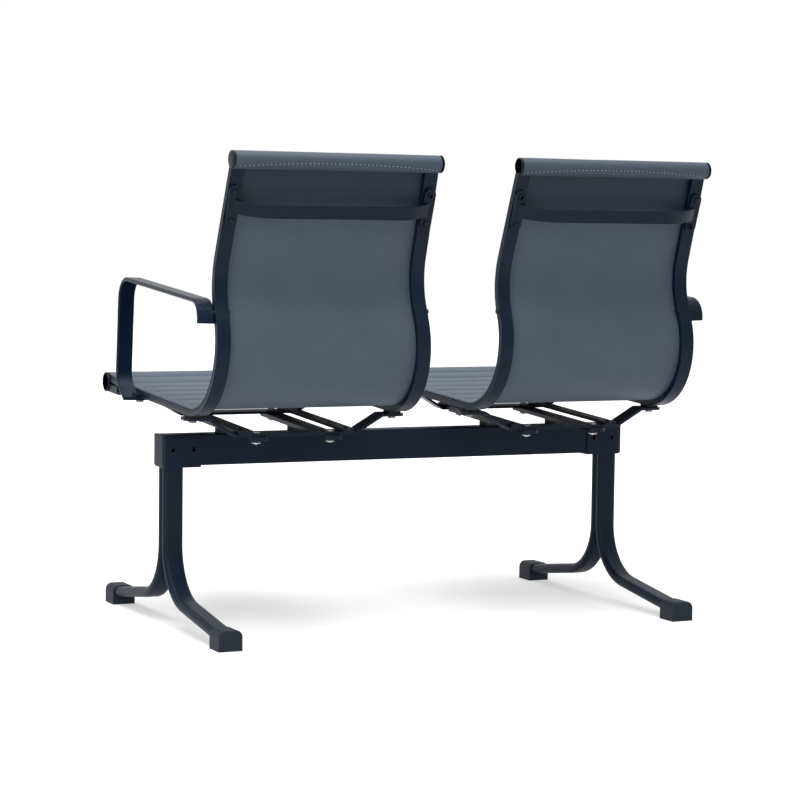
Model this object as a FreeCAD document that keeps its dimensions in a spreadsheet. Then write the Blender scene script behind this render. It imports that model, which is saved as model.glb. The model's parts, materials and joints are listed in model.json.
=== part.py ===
import FreeCAD, Part
import math
import os
import Sketcher
from FreeCAD import Placement, Rotation, Vector

# Two-seat beam seating: a rectangular beam on two splayed legs carries two sling seats.
# Frame: X along the beam, the seats face -Y, Z up, floor at Z = 0.
# Seat side view is worked out in "ahead" (towards the sitter's knees) and "up" values.

doc = FreeCAD.newDocument("beam_seating")
sheet = doc.addObject("Spreadsheet::Sheet", "Sizes")

SIZES = {
    # seats and their places
    "seat_pitch": 570.0,
    "seat_half_width": 215.0,
    "flare_angle": 1.63,
    "flare_level": 420.0,
    # side rails: section and side view
    "rail_width": 26.0,
    "rail_thickness": 11.0,
    "rail_edge_round": 2.0,
    "groove_start": 7.2,
    "groove_width": 1.8,
    "groove_depth": 1.5,
    "recline_angle": 20.0,
    "back_run": 183.0,
    "lumbar_radius": 130.0,
    "waist_angle": 22.0,
    "waist_run": 18.0,
    "corner_radius": 133.0,
    "corner_ahead": 184.0,
    "corner_up": 545.0,
    "seat_slope": 3.5,
    "seat_run": 310.0,
    "rise_radius": 600.0,
    "rise_slope": 7.0,
    "front_run": 115.0,
    "curl_radius": 3.5,
    "tail_fall": 3.0,
    "tail_run": 62.0,
    # sling
    "soft_gap": 0.3,
    "sling_thickness": 4.7,
    "sling_inset": 1.0,
    "sling_wrap": 255.0,
    "channel_crown": 2.6,
    "channel_pitch": 64.0,
    # rods and caps at the two rolls
    "rod_stub_radius": 5.0,
    "front_stub_radius": 3.3,
    "fit_gap": 0.1,
    "end_gap": 0.4,
    "cap_thickness": 3.0,
    "cap_spigot": 5.0,
    # back spreader
    "spreader_up": 796.0,
    "spreader_height": 24.0,
    "spreader_thickness": 5.0,
    "spreader_bend_radius": 110.0,
    "spreader_bend_angle": 40.0,
    "tab_width": 22.0,
    "tab_height": 78.0,
    "tab_thickness": 6.0,
    "tab_screw_spread": 54.0,
    "screw_radius": 2.5,
    "screw_head_radius": 6.0,
    "screw_head_height": 4.0,
    "screw_length": 13.0,
    # cross straps and fore-and-aft bars under each seat
    "strap_ahead": 198.0,
    "strap_spacing": 292.0,
    "strap_width": 36.0,
    "strap_thickness": 5.0,
    "strap_flat_half": 122.0,
    "strap_lug_start": 176.0,
    "strap_lug_end": 222.0,
    "strap_drop": 37.0,
    "block_height": 4.0,
    "block_length": 30.0,
    "block_width": 22.0,
    "bar_overhang": 24.0,
    "lower_bar_width": 36.0,
    "lower_bar_place": 75.0,
    "lower_bar_thickness": 8.0,
    "upper_bar_thickness": 6.0,
    "bar_corner": 12.0,
    "upper_bar_width": 25.0,
    "upper_bar_place": 106.0,
    # bolts
    "bolt_radius": 4.0,
    "bolt_flats": 13.0,
    "bolt_head_height": 5.5,
    "nut_height": 6.5,
    "bolt_grip_in_rail": 7.0,
    # beam
    "beam_ahead": 350.0,
    "beam_top": 365.0,
    "beam_length": 986.0,
    "beam_depth": 40.0,
    "beam_height": 60.0,
    "beam_wall": 2.5,
    "beam_corner": 3.0,
    "cap_plate": 6.0,
    "cap_chamfer": 4.0,
    "plug_depth": 14.0,
    "beam_screw_radius": 3.0,
    "beam_screw_spread": 22.0,
    "beam_screw_head_radius": 6.0,
    # legs and feet
    "saddle_length": 72.0,
    "saddle_wall": 3.0,
    "saddle_drop": 7.0,
    "saddle_screw_radius": 3.0,
    "saddle_screw_spread": 42.0,
    "leg_width": 40.0,
    "leg_depth": 20.0,
    "leg_wall": 2.0,
    "leg_bend_radius": 110.0,
    "leg_slope": 8.0,
    "leg_reach": 318.0,
    "foot_width": 46.0,
    "foot_length": 50.0,
    "foot_height": 38.0,
    "foot_round": 13.0,
    "foot_tube_up": 22.0,
    "foot_skin": 5.0,
    # armrests
    "arm_width": 32.0,
    "arm_thickness": 8.0,
    "arm_round": 3.0,
    "arm_gap": 0.2,
    "arm_rear_ahead": 71.0,
    "arm_rear_low": 586.0,
    "arm_top_rear": 624.5,
    "arm_top_slope": 4.3,
    "arm_post_ahead": 505.0,
    "arm_heel_up": 458.0,
    "arm_toe_ahead": 458.0,
    "arm_toe_up": 425.0,
    "arm_rear_bend": 34.0,
    "arm_top_bend": 38.0,
    "arm_heel_bend": 48.0,
    "arm_bolt_radius": 3.0,
    "arm_bolt_up": 606.0,
    "arm_bolt_grip": 14.0,
    "arm_bolt_head_radius": 5.0,
    "arm_bolt_head_height": 3.0,
    "plug_radius": 4.5,
    "plug_height": 3.0,
}

for row, (name, value) in enumerate(SIZES.items(), start=1):
    sheet.set("A%d" % row, name)
    sheet.set("B%d" % row, str(value))
    sheet.setAlias("B%d" % row, name)
doc.recompute()


class SheetSizes:
    """Reads a driving size from the sheet by its alias."""

    def __getattr__(self, name):
        return float(sheet.get(name))


mm = SheetSizes()
sub_parts = []


def bind(item, target, formula):
    """Ties one property or constraint of an object to a formula on sheet sizes."""
    item.setExpression(target, formula.replace("$", "Sizes."))


# Side view of a rail
# The back face of the rail is a chain of runs and bends. Heading 0 points straight down and
# grows towards the front; the sitter's side lies at heading + 90 degrees.

class Run:
    def __init__(self, start, heading, length):
        self.start = start
        self.first = heading
        self.last = heading
        self.length = length

    def point(self, share, offset):
        turn = math.radians(self.first)
        ahead = self.start[0] + math.sin(turn) * self.length * share + math.cos(turn) * offset
        up = self.start[1] - math.cos(turn) * self.length * share + math.sin(turn) * offset
        return (ahead, up)

    def path_length(self, offset):
        return self.length


class Bend:
    """An arc; its centre is on the sitter's side when towards_sitter is true."""

    def __init__(self, start, first, last, radius, towards_sitter):
        self.first = first
        self.last = last
        self.radius = radius
        self.side = 1.0 if towards_sitter else -1.0
        turn = math.radians(first)
        self.centre = (start[0] + self.side * radius * math.cos(turn),
                       start[1] + self.side * radius * math.sin(turn))

    def point(self, share, offset):
        turn = math.radians(self.first + (self.last - self.first) * share)
        reach = self.radius - self.side * offset
        return (self.centre[0] - self.side * reach * math.cos(turn),
                self.centre[1] - self.side * reach * math.sin(turn))

    def path_length(self, offset):
        return abs(math.radians(self.last - self.first)) * (self.radius - self.side * offset)


def rail_chain():
    """Back face of a rail from the top roll down the back, along the seat and round the curl."""
    slope = 90.0 + mm.seat_slope
    rise = 90.0 + mm.rise_slope
    tail = mm.tail_fall - 90.0
    turn = math.radians(mm.waist_angle)
    waist_low = (mm.corner_ahead - mm.corner_radius * math.cos(turn),
                 mm.corner_up + mm.corner_radius * math.sin(turn))
    waist_high = (waist_low[0] + mm.waist_run * math.sin(turn),
                  waist_low[1] + mm.waist_run * math.cos(turn))
    lumbar_centre = (waist_high[0] - mm.lumbar_radius * math.cos(turn),
                     waist_high[1] + mm.lumbar_radius * math.sin(turn))
    lean = math.radians(mm.recline_angle)
    lumbar_top = (lumbar_centre[0] + mm.lumbar_radius * math.cos(lean),
                  lumbar_centre[1] + mm.lumbar_radius * math.sin(lean))
    roll = (lumbar_top[0] - mm.back_run * math.sin(lean),
            lumbar_top[1] + mm.back_run * math.cos(lean))
    wrap = Bend(roll, mm.recline_angle + mm.sling_wrap, mm.recline_angle, 0.0, False)
    back = Run(roll, mm.recline_angle, mm.back_run)
    lumbar = Bend(lumbar_top, mm.recline_angle, -mm.waist_angle, mm.lumbar_radius, False)
    waist = Run(waist_high, -mm.waist_angle, mm.waist_run)
    corner = Bend(waist_low, -mm.waist_angle, slope, mm.corner_radius, True)
    seat = Run(corner.point(1.0, 0.0), slope, mm.seat_run)
    rising = Bend(seat.point(1.0, 0.0), slope, rise, mm.rise_radius, True)
    front = Run(rising.point(1.0, 0.0), rise, mm.front_run)
    curl = Bend(front.point(1.0, 0.0), rise, tail, mm.curl_radius, False)
    tail_end = Run(curl.point(1.0, 0.0), tail, mm.tail_run)
    return [wrap, back, lumbar, waist, corner, seat, rising, front, curl, tail_end]


chain = rail_chain()
WRAP, BACK, SEAT, FRONT, CURL, TAIL = 0, 1, 5, 7, 8, 9
sling_outer = mm.rail_thickness + mm.soft_gap + mm.sling_thickness
roll_centre = chain[WRAP].centre
curl_centre = chain[CURL].centre
rearmost = roll_centre[0] - sling_outer
foremost = curl_centre[0] + mm.curl_radius + sling_outer
middle = (rearmost + foremost) / 2.0


def yz(point):
    """Turns an (ahead, up) point into sketch coordinates of the YZ plane."""
    return Vector(middle - point[0], point[1], 0.0)


def side_half_width(up):
    """Half the distance over the rails' outer faces at a given height."""
    return mm.seat_half_width - (up - mm.flare_level) * math.tan(math.radians(mm.flare_angle))


# Sketch and feature helpers

def new_body(label):
    body = doc.addObject("PartDesign::Body", label)
    body.Label = label
    return body


def new_sketch(body, role, name, shift=0.0, turn=None):
    """A sketch on one of the body's own origin planes, moved along that plane's normal."""
    plane = [item for item in body.Origin.OriginFeatures if item.Role == role][0]
    sketch = body.newObject("Sketcher::SketchObject", name)
    sketch.AttachmentSupport = [(plane, "")]
    sketch.MapMode = "FlatFace"
    sketch.AttachmentOffset = Placement(Vector(0.0, 0.0, shift), turn or Rotation())
    return sketch


def join(sketch, first, second):
    """Ties the two nearest ends of two sketch pieces together."""
    pairs = [(sketch.getPoint(first, a).distanceToPoint(sketch.getPoint(second, b)), a, b)
             for a in (1, 2) for b in (1, 2)]
    gap, a, b = min(pairs)
    sketch.addConstraint(Sketcher.Constraint("Coincident", first, a, second, b))


def open_line(sketch, pieces):
    """Adds line and arc pieces one after the other and joins them."""
    numbers = [sketch.addGeometry(piece, False) for piece in pieces]
    for first, second in zip(numbers, numbers[1:]):
        join(sketch, first, second)
    return numbers


def close_loop(sketch, pieces):
    """Adds a closed loop of line and arc pieces and joins their ends."""
    numbers = open_line(sketch, pieces)
    join(sketch, numbers[-1], numbers[0])
    return numbers


def polygon(points):
    """Line pieces round a closed polygon."""
    count = len(points)
    return [Part.LineSegment(points[i], points[(i + 1) % count]) for i in range(count)]


def rectangle(sketch, centre, width_formula, height_formula, width, height):
    """A rectangle whose width and height follow the sheet."""
    left, right = centre[0] - width / 2.0, centre[0] + width / 2.0
    low, high = centre[1] - height / 2.0, centre[1] + height / 2.0
    corners = [Vector(left, low, 0), Vector(right, low, 0), Vector(right, high, 0), Vector(left, high, 0)]
    sides = close_loop(sketch, polygon(corners))
    for number in (sides[0], sides[2]):
        sketch.addConstraint(Sketcher.Constraint("Horizontal", number))
    for number in (sides[1], sides[3]):
        sketch.addConstraint(Sketcher.Constraint("Vertical", number))
    across = sketch.addConstraint(Sketcher.Constraint("DistanceX", sides[0], 1, sides[0], 2, width))
    tall = sketch.addConstraint(Sketcher.Constraint("DistanceY", sides[1], 1, sides[1], 2, height))
    bind(sketch, "Constraints[%d]" % across, width_formula)
    bind(sketch, "Constraints[%d]" % tall, height_formula)
    return sides


def circle(sketch, centre, radius, formula):
    """A circle whose radius follows the sheet."""
    number = sketch.addGeometry(Part.Circle(Vector(centre[0], centre[1], 0), Vector(0, 0, 1), radius), False)
    round_size = sketch.addConstraint(Sketcher.Constraint("Radius", number, radius))
    bind(sketch, "Constraints[%d]" % round_size, formula)


def slot(sketch, centre, width, height):
    """A flat oval lying along the sketch's first axis."""
    half = (width - height) / 2.0
    round_end = height / 2.0
    x, y = centre
    pieces = [
        Part.LineSegment(Vector(x - half, y - round_end, 0), Vector(x + half, y - round_end, 0)),
        Part.Arc(Vector(x + half, y - round_end, 0), Vector(x + half + round_end, y, 0),
                 Vector(x + half, y + round_end, 0)),
        Part.LineSegment(Vector(x + half, y + round_end, 0), Vector(x - half, y + round_end, 0)),
        Part.Arc(Vector(x - half, y + round_end, 0), Vector(x - half - round_end, y, 0),
                 Vector(x - half, y - round_end, 0)),
    ]
    close_loop(sketch, pieces)


def pad(body, sketch, formula, both_ways=False, reverse=False):
    feature = body.newObject("PartDesign::Pad", sketch.Name + "_pad")
    feature.Profile = sketch
    feature.Midplane = both_ways
    feature.Reversed = reverse
    bind(feature, "Length", formula)
    return feature


def cut_through(body, sketch, both_ways=True):
    feature = body.newObject("PartDesign::Pocket", sketch.Name + "_cut")
    feature.Profile = sketch
    feature.Type = "ThroughAll"
    feature.Midplane = both_ways
    return feature


def pocket(body, sketch, formula, reverse=False):
    feature = body.newObject("PartDesign::Pocket", sketch.Name + "_cut")
    feature.Profile = sketch
    feature.Reversed = reverse
    bind(feature, "Length", formula)
    return feature


def edges_where(shape, test):
    """Names of the edges whose middle point and direction pass a test."""
    names = []
    for number, edge in enumerate(shape.Edges, start=1):
        middle_value = (edge.FirstParameter + edge.LastParameter) / 2.0
        if test(edge.valueAt(middle_value), edge.tangentAt(middle_value)):
            names.append("Edge%d" % number)
    return names


def round_edges(body, base, test, formula, kind="Fillet"):
    """Rounds or chamfers the edges of a feature that pass a test."""
    doc.recompute()
    feature = body.newObject("PartDesign::" + kind, base.Name + "_edges")
    feature.Base = (base, edges_where(base.Shape, test))
    bind(feature, "Radius" if kind == "Fillet" else "Size", formula)
    return feature


def place(item, x, y, z, turn=None):
    item.Placement = Placement(Vector(x, y, z), turn or Rotation())


def keep(item, label):
    """Lists an object as a sub-part of the assembly."""
    item.Label = label
    sub_parts.append(item)
    return item


def group(label, members):
    """One node that holds several separate, like solids."""
    compound = doc.addObject("Part::Compound", label)
    compound.Links = members
    return keep(compound, label)


def turned_cylinder(name, radius_formula, height_formula, x, y, z, turn):
    cylinder = doc.addObject("Part::Cylinder", name)
    bind(cylinder, "Radius", radius_formula)
    bind(cylinder, "Height", height_formula)
    place(cylinder, x, y, z, turn)
    return cylinder


def bolt(name, head, shank_radius, shank_length, spot, turn):
    """A bolt: its head's seat is at the spot and its shank points along the turned Z axis."""
    shank = turned_cylinder(name + "_shank", shank_radius, shank_length, *spot, turn)
    back = turn.multVec(Vector(0, 0, -1))
    if head[0] == "hex":
        top = doc.addObject("Part::Prism", name + "_head")
        top.Polygon = 6
        bind(top, "Circumradius", head[1] + " / sqrt(3)")
        bind(top, "Height", head[2])
    else:
        top = doc.addObject("Part::Cylinder", name + "_head")
        bind(top, "Radius", head[1])
        bind(top, "Height", head[2])
    doc.recompute()
    height = top.Height.Value
    place(top, spot[0] + back.x * height, spot[1] + back.y * height, spot[2] + back.z * height, turn)
    whole = doc.addObject("Part::Fuse", name)
    whole.Base = top
    whole.Tool = shank
    return whole


def band(first, last, near, far):
    """Closed outline between two offsets of the rail chain, as line and arc pieces."""
    pieces = []
    for element in chain[first:last + 1]:
        pieces += outline_piece(element, far, 0.0, 1.0)
    end = chain[last]
    pieces.append(Part.LineSegment(yz(end.point(1.0, far)), yz(end.point(1.0, near))))
    for element in reversed(chain[first:last + 1]):
        pieces += outline_piece(element, near, 1.0, 0.0)
    begin = chain[first]
    pieces.append(Part.LineSegment(yz(begin.point(0.0, near)), yz(begin.point(0.0, far))))
    return pieces


def outline_piece(element, offset, start, end):
    """The line or arc of one chain element at an offset; nothing where it shrinks to a point."""
    from_point = yz(element.point(start, offset))
    to_point = yz(element.point(end, offset))
    if isinstance(element, Run):
        return [Part.LineSegment(from_point, to_point)]
    if element.path_length(offset) < 0.01:
        return []
    count = 2 if abs(element.last - element.first) > 120.0 else 1
    pieces = []
    for step in range(count):
        begin = start + (end - start) * step / count
        stop = start + (end - start) * (step + 1) / count
        half = (begin + stop) / 2.0
        pieces.append(Part.Arc(yz(element.point(begin, offset)), yz(element.point(half, offset)),
                               yz(element.point(stop, offset))))
    return pieces


def padded_profile(name, pieces, half_width):
    """A side-view outline carried right across one seat."""
    body = new_body(name)
    sketch = new_sketch(body, "YZ_Plane", name + "_outline")
    close_loop(sketch, pieces)
    feature = body.newObject("PartDesign::Pad", name + "_pad")
    feature.Profile = sketch
    feature.Midplane = True
    feature.Length = 2.0 * half_width
    return body


def leaning_slab(name, inner, outer, side):
    """A fore-and-aft slab between two distances in from the flared outer plane."""
    low, high = 0.0, 1000.0
    corners = []
    for inset, up in ((outer, low), (outer, high), (inner, high), (inner, low)):
        corners.append(Vector(side * (side_half_width(up) - inset), up, 0.0))
    body = new_body(name)
    sketch = new_sketch(body, "XZ_Plane", name + "_outline")
    close_loop(sketch, polygon(corners))
    feature = body.newObject("PartDesign::Pad", name + "_pad")
    feature.Profile = sketch
    feature.Midplane = True
    feature.Length = 1600.0
    return body


# Beam, its end caps and the pads under the seats

beam_y = middle - mm.beam_ahead
beam_mid_up = mm.beam_top - mm.beam_height / 2.0


def make_beam():
    body = new_body("beam_tube")
    sketch = new_sketch(body, "YZ_Plane", "beam_section")
    rectangle(sketch, (0, 0), "$beam_depth", "$beam_height", mm.beam_depth, mm.beam_height)
    base = pad(body, sketch, "$beam_length", both_ways=True)
    rounded = round_edges(body, base, lambda point, along: abs(along.x) > 0.9, "$beam_corner")
    hollow = new_sketch(body, "YZ_Plane", "beam_bore")
    rectangle(hollow, (0, 0), "$beam_depth - 2 * $beam_wall", "$beam_height - 2 * $beam_wall",
              mm.beam_depth - 2 * mm.beam_wall, mm.beam_height - 2 * mm.beam_wall)
    cut_through(body, hollow)
    screws = new_sketch(body, "XY_Plane", "beam_screw_holes")
    for x, spread in beam_screw_places():
        circle(screws, (x, spread), mm.beam_screw_radius + mm.fit_gap, "$beam_screw_radius + $fit_gap")
    holes = body.newObject("PartDesign::Pocket", "beam_screw_cut")
    holes.Profile = screws
    holes.Reversed = True
    bind(holes, "Length", "$beam_height / 2 + 1")
    place(body, 0, beam_y, beam_mid_up)
    return keep(body, "beam_tube")


def beam_screw_places():
    """(x, y from the beam's centre) of the screws that hold the seat bars down."""
    places = []
    for seat in (-1, 1):
        for side in (-1, 1):
            for fore in (-1, 1):
                x = seat * mm.seat_pitch / 2.0 + side * mm.lower_bar_place
                places.append((x, fore * mm.beam_screw_spread / 2.0))
    return places


def make_beam_cap(side, label):
    body = new_body(label)
    low = -mm.beam_height / 2.0 - mm.saddle_wall
    high = mm.beam_height / 2.0
    sketch = new_sketch(body, "YZ_Plane", label + "_plate")
    rectangle(sketch, (0, (low + high) / 2.0), "$beam_depth + 2 * $saddle_wall",
              "$beam_height + $saddle_wall", mm.beam_depth + 2 * mm.saddle_wall, high - low)
    base = pad(body, sketch, "$cap_plate", reverse=side < 0)
    outer = side * mm.cap_plate

    def low_outer_edge(point, along):
        return abs(point.x - outer) < 0.01 and abs(point.z - low) < 0.01

    def other_outer_edges(point, along):
        return abs(point.x - outer) < 0.01 and abs(point.z - low) > 5.0

    chamfered = round_edges(body, base, low_outer_edge, "$cap_chamfer", "Chamfer")
    rounded = round_edges(body, chamfered, other_outer_edges, "$cap_plate / 6")
    plug = new_sketch(body, "YZ_Plane", label + "_plug")
    wide = mm.beam_depth - 2 * mm.beam_wall - 2 * mm.fit_gap
    tall = mm.beam_height - 2 * mm.beam_wall - 2 * mm.fit_gap
    rectangle(plug, (0, 0), "$beam_depth - 2 * $beam_wall - 2 * $fit_gap",
              "$beam_height - 2 * $beam_wall - 2 * $fit_gap", wide, tall)
    pad(body, plug, "$plug_depth", reverse=side > 0)
    place(body, side * mm.beam_length / 2.0, beam_y, beam_mid_up)
    return keep(body, label)


# Legs: a saddle under each end of the beam, two bent tubes and two feet

leg_x = mm.beam_length / 2.0 - mm.leg_width / 2.0
saddle_x = mm.beam_length / 2.0 - mm.saddle_length / 2.0
saddle_low = mm.beam_top - mm.beam_height - mm.saddle_wall


def saddle_screw_places():
    """(x, side of the beam) of the screws through both saddle cheeks."""
    return [(offset * mm.saddle_screw_spread / 2.0, cheek) for offset in (-1, 1) for cheek in (-1, 1)]


def make_saddle(side, label):
    body = new_body(label)
    sketch = new_sketch(body, "YZ_Plane", label + "_section")
    half = mm.beam_depth / 2.0
    wall = mm.saddle_wall
    top = mm.beam_height / 2.0 - mm.saddle_drop
    low = -mm.beam_height / 2.0
    corners = [(-half - wall, low - wall), (half + wall, low - wall), (half + wall, top), (half, top),
               (half, low), (-half, low), (-half, top), (-half - wall, top)]
    close_loop(sketch, polygon([Vector(y, z, 0) for y, z in corners]))
    pad(body, sketch, "$saddle_length", both_ways=True)
    holes = new_sketch(body, "XZ_Plane", label + "_holes")
    for offset in (-1, 1):
        circle(holes, (offset * mm.saddle_screw_spread / 2.0, 0), mm.saddle_screw_radius + mm.fit_gap,
               "$saddle_screw_radius + $fit_gap")
    cut_through(body, holes)
    place(body, side * saddle_x, beam_y, beam_mid_up)
    return keep(body, label)


def leg_path():
    """Centre line of a leg tube from the saddle down and out, in (outward, up)."""
    turn = math.radians(90.0 - mm.leg_slope)
    radius = mm.leg_bend_radius
    end_out = mm.leg_reach - mm.foot_skin - mm.leg_depth / 2.0
    bend_end_out = radius * (1.0 - math.cos(turn))
    run = (end_out - bend_end_out) / math.sin(turn)
    end_up = mm.foot_tube_up + (mm.foot_length / 2.0 - mm.foot_skin) * -math.tan(math.radians(mm.leg_slope))
    bend_end_up = end_up + run * math.cos(turn)
    bend_start_up = bend_end_up + radius * math.sin(turn)
    middle_turn = turn / 2.0
    bend_middle = (radius * (1.0 - math.cos(middle_turn)), bend_start_up - radius * math.sin(middle_turn))
    return [(0.0, bend_start_up), bend_middle, (bend_end_out, bend_end_up), (end_out, end_up)]


def make_leg_tube(side, fore, label):
    """One bent tube; fore is -1 for the front tube and 1 for the rear one."""
    start, bend_middle, bend_end, end = leg_path()
    body = new_body(label)

    def local(point):
        return Vector(fore * point[0], point[1] - saddle_low, 0.0)

    path = new_sketch(body, "YZ_Plane", label + "_path")
    pieces = [
        Part.LineSegment(Vector(0, 0, 0), local(start)),
        Part.Arc(local(start), local(bend_middle), local(bend_end)),
        Part.LineSegment(local(bend_end), local(end)),
    ]
    open_line(path, pieces)
    section = new_sketch(body, "XY_Plane", label + "_section")
    slot(section, (0, 0), mm.leg_width, mm.leg_depth)
    slot(section, (0, 0), mm.leg_width - 2 * mm.leg_wall, mm.leg_depth - 2 * mm.leg_wall)
    tube = body.newObject("PartDesign::AdditivePipe", label + "_tube")
    tube.Profile = section
    tube.Spine = path
    place(body, side * leg_x, beam_y + fore * mm.leg_depth / 2.0, saddle_low)
    return keep(body, label)


def make_foot(side, fore, label):
    """A moulded foot with a rounded top that takes the end of a leg tube."""
    body = new_body(label)
    half = mm.foot_width / 2.0
    high = mm.foot_height
    edge = mm.foot_round
    slant = math.sqrt(0.5)
    outline = new_sketch(body, "XZ_Plane", label + "_outline")
    centre_up = high - edge
    pieces = [
        Part.LineSegment(Vector(-half, 0, 0), Vector(half, 0, 0)),
        Part.LineSegment(Vector(half, 0, 0), Vector(half, centre_up, 0)),
        Part.Arc(Vector(half, centre_up, 0),
                 Vector(half - edge + edge * slant, centre_up + edge * slant, 0), Vector(half - edge, high, 0)),
        Part.LineSegment(Vector(half - edge, high, 0), Vector(-half + edge, high, 0)),
        Part.Arc(Vector(-half + edge, high, 0),
                 Vector(-half + edge - edge * slant, centre_up + edge * slant, 0), Vector(-half, centre_up, 0)),
        Part.LineSegment(Vector(-half, centre_up, 0), Vector(-half, 0, 0)),
    ]
    close_loop(outline, pieces)
    block = pad(body, outline, "$foot_length", both_ways=True)

    def rounded_rims(point, along):
        return abs(abs(point.y) - mm.foot_length / 2.0) < 0.01 and point.z > 1.0

    rims = round_edges(body, block, rounded_rims, "$foot_skin / 2")
    depth = mm.foot_length / 2.0 - mm.foot_skin
    socket = new_sketch(body, "XZ_Plane", label + "_socket", -fore * depth,
                        Rotation(Vector(1, 0, 0), -fore * mm.leg_slope))
    drop = depth * math.tan(math.radians(mm.leg_slope))
    socket.AttachmentOffset = Placement(Vector(0, mm.foot_tube_up - drop, -fore * depth),
                                        socket.AttachmentOffset.Rotation)
    slot(socket, (0, 0), mm.leg_width + 2 * mm.fit_gap, mm.leg_depth + 2 * mm.fit_gap)
    opening = body.newObject("PartDesign::Pocket", label + "_socket_cut")
    opening.Profile = socket
    opening.Type = "ThroughAll"
    opening.Reversed = fore > 0
    place(body, side * leg_x, beam_y + fore * (mm.leg_reach - mm.foot_length / 2.0), 0)
    return keep(body, label)


# Seat frame: rails, rods, caps and back spreader

def make_rail(seat, side, label):
    reach = mm.seat_half_width + 20.0
    whole = padded_profile(label + "_side_view", band(BACK, TAIL, 0.0, mm.rail_thickness), reach)
    knob = new_sketch(whole, "YZ_Plane", label + "_knob")
    circle(knob, yz(roll_centre), mm.rail_thickness, "$rail_thickness")
    knob_pad = whole.newObject("PartDesign::Pad", label + "_knob_pad")
    knob_pad.Profile = knob
    knob_pad.Midplane = True
    knob_pad.Length = 2.0 * reach
    slab = leaning_slab(label + "_slab", mm.rail_width, 0.0, side)
    bar = doc.addObject("Part::Common", label + "_bar")
    bar.Base = whole
    bar.Tool = slab
    groove_band = padded_profile(label + "_groove_view",
                                 band(BACK, CURL, mm.groove_start, mm.groove_start + mm.groove_width), reach)
    strip = leaning_slab(label + "_strip", mm.groove_depth, -10.0, side)
    groove = doc.addObject("Part::Common", label + "_groove")
    groove.Base = groove_band
    groove.Tool = strip
    grooved = doc.addObject("Part::Cut", label + "_grooved")
    grooved.Base = bar
    grooved.Tool = groove
    bores = rail_bores(label, side)
    rail = doc.addObject("Part::Cut", label)
    rail.Base = grooved
    rail.Tool = bores
    place(rail, seat * mm.seat_pitch / 2.0, 0, 0)
    return keep(rail, label)


def rail_bores(label, side):
    """Everything drilled in one rail: rod, strap bolts, spreader screws and arm fixings."""
    across = Rotation(Vector(0, 1, 0), 90)
    tools = []
    left = side * mm.seat_half_width - 100.0
    roll = yz(roll_centre)
    eye = turned_cylinder(label + "_rod_bore", "$rod_stub_radius + $fit_gap", "200", left, roll.x, roll.y, across)
    tools.append(eye)
    for ahead, up in arm_bolt_spots():
        spot = yz((ahead, up))
        tools.append(turned_cylinder(label + "_arm_bore_%d" % len(tools), "$arm_bolt_radius + $fit_gap", "200",
                                     left, spot.x, spot.y, across))
    for number in (0, 1):
        x, spot, turn = rail_bolt_spot(number, side)
        tools.append(turned_cylinder(label + "_bolt_bore_%d" % number, "$bolt_radius + $fit_gap",
                                     "$bolt_grip_in_rail + $fit_gap", x, spot.y, spot.z, turn))
    for number in (-1, 1):
        x, spot, turn = spreader_screw_seat(number, side, 0.0)
        tools.append(turned_cylinder(label + "_screw_bore_%d" % (number + 1), "$screw_radius + $fit_gap",
                                     "$screw_length - $tab_thickness + $fit_gap", x, spot.y, spot.z, turn))
    bores = doc.addObject("Part::MultiFuse", label + "_bores")
    bores.Shapes = tools
    return bores


def make_rods(seat, label_top, label_front):
    """Cross rods inside the top roll and the front roll, each with a stub into the rails."""
    made = []
    sets = (
        (label_top, roll_centre, "$rail_thickness", "$rod_stub_radius"),
        (label_front, curl_centre, "$curl_radius + $rail_thickness", "$front_stub_radius"),
    )
    for label, spot, radius, stub in sets:
        centre = yz(spot)
        outer = side_half_width(spot[1] + mm.rail_thickness)
        inner = outer - mm.rail_width - mm.end_gap
        body = new_body(label)
        thick = new_sketch(body, "YZ_Plane", label + "_rod")
        circle(thick, (0, 0), mm.rail_thickness, radius)
        rod = body.newObject("PartDesign::Pad", label + "_rod_pad")
        rod.Profile = thick
        rod.Midplane = True
        rod.Length = 2.0 * inner
        thin = new_sketch(body, "YZ_Plane", label + "_stub")
        circle(thin, (0, 0), mm.front_stub_radius, stub)
        ends = body.newObject("PartDesign::Pad", label + "_stub_pad")
        ends.Profile = thin
        ends.Midplane = True
        ends.Length = 2.0 * (outer - mm.cap_spigot - mm.end_gap)
        place(body, seat * mm.seat_pitch / 2.0, centre.x, centre.y)
        made.append(keep(body, label))
    return made


def make_roll_caps(label, spot, radius_formula, spigot_formula, reach):
    """Round black caps on the outer ends of one roll of both seats."""
    members = []
    centre = yz(spot)
    seat_plane = side_half_width(spot[1] - reach) + mm.fit_gap
    for seat in (-1, 1):
        for side in (-1, 1):
            name = "%s_%s_%s" % (label, "a" if seat < 0 else "b", "a" if side < 0 else "b")
            body = new_body(name)
            disc = new_sketch(body, "YZ_Plane", name + "_disc")
            circle(disc, (0, 0), reach, radius_formula)
            base = pad(body, disc, "$cap_thickness", reverse=side < 0)

            def outer_rim(point, along):
                return abs(abs(point.x) - mm.cap_thickness) < 0.01

            round_edges(body, base, outer_rim, "$cap_thickness / 2")
            spigot = new_sketch(body, "YZ_Plane", name + "_spigot")
            circle(spigot, (0, 0), mm.front_stub_radius, spigot_formula)
            pad(body, spigot, "$cap_spigot", reverse=side > 0)
            place(body, seat * mm.seat_pitch / 2.0 + side * seat_plane, centre.x, centre.y)
            members.append(body)
    return group(label, members)


def back_frame(up):
    """Point on the back face at a height on the straight part of the back, and its turn."""
    lean = math.radians(mm.recline_angle)
    drop = (roll_centre[1] - up) * math.tan(lean)
    spot = yz((roll_centre[0] + drop, up))
    return Vector(0, spot.x, spot.y), Rotation(Vector(1, 0, 0), -mm.recline_angle)


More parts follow.
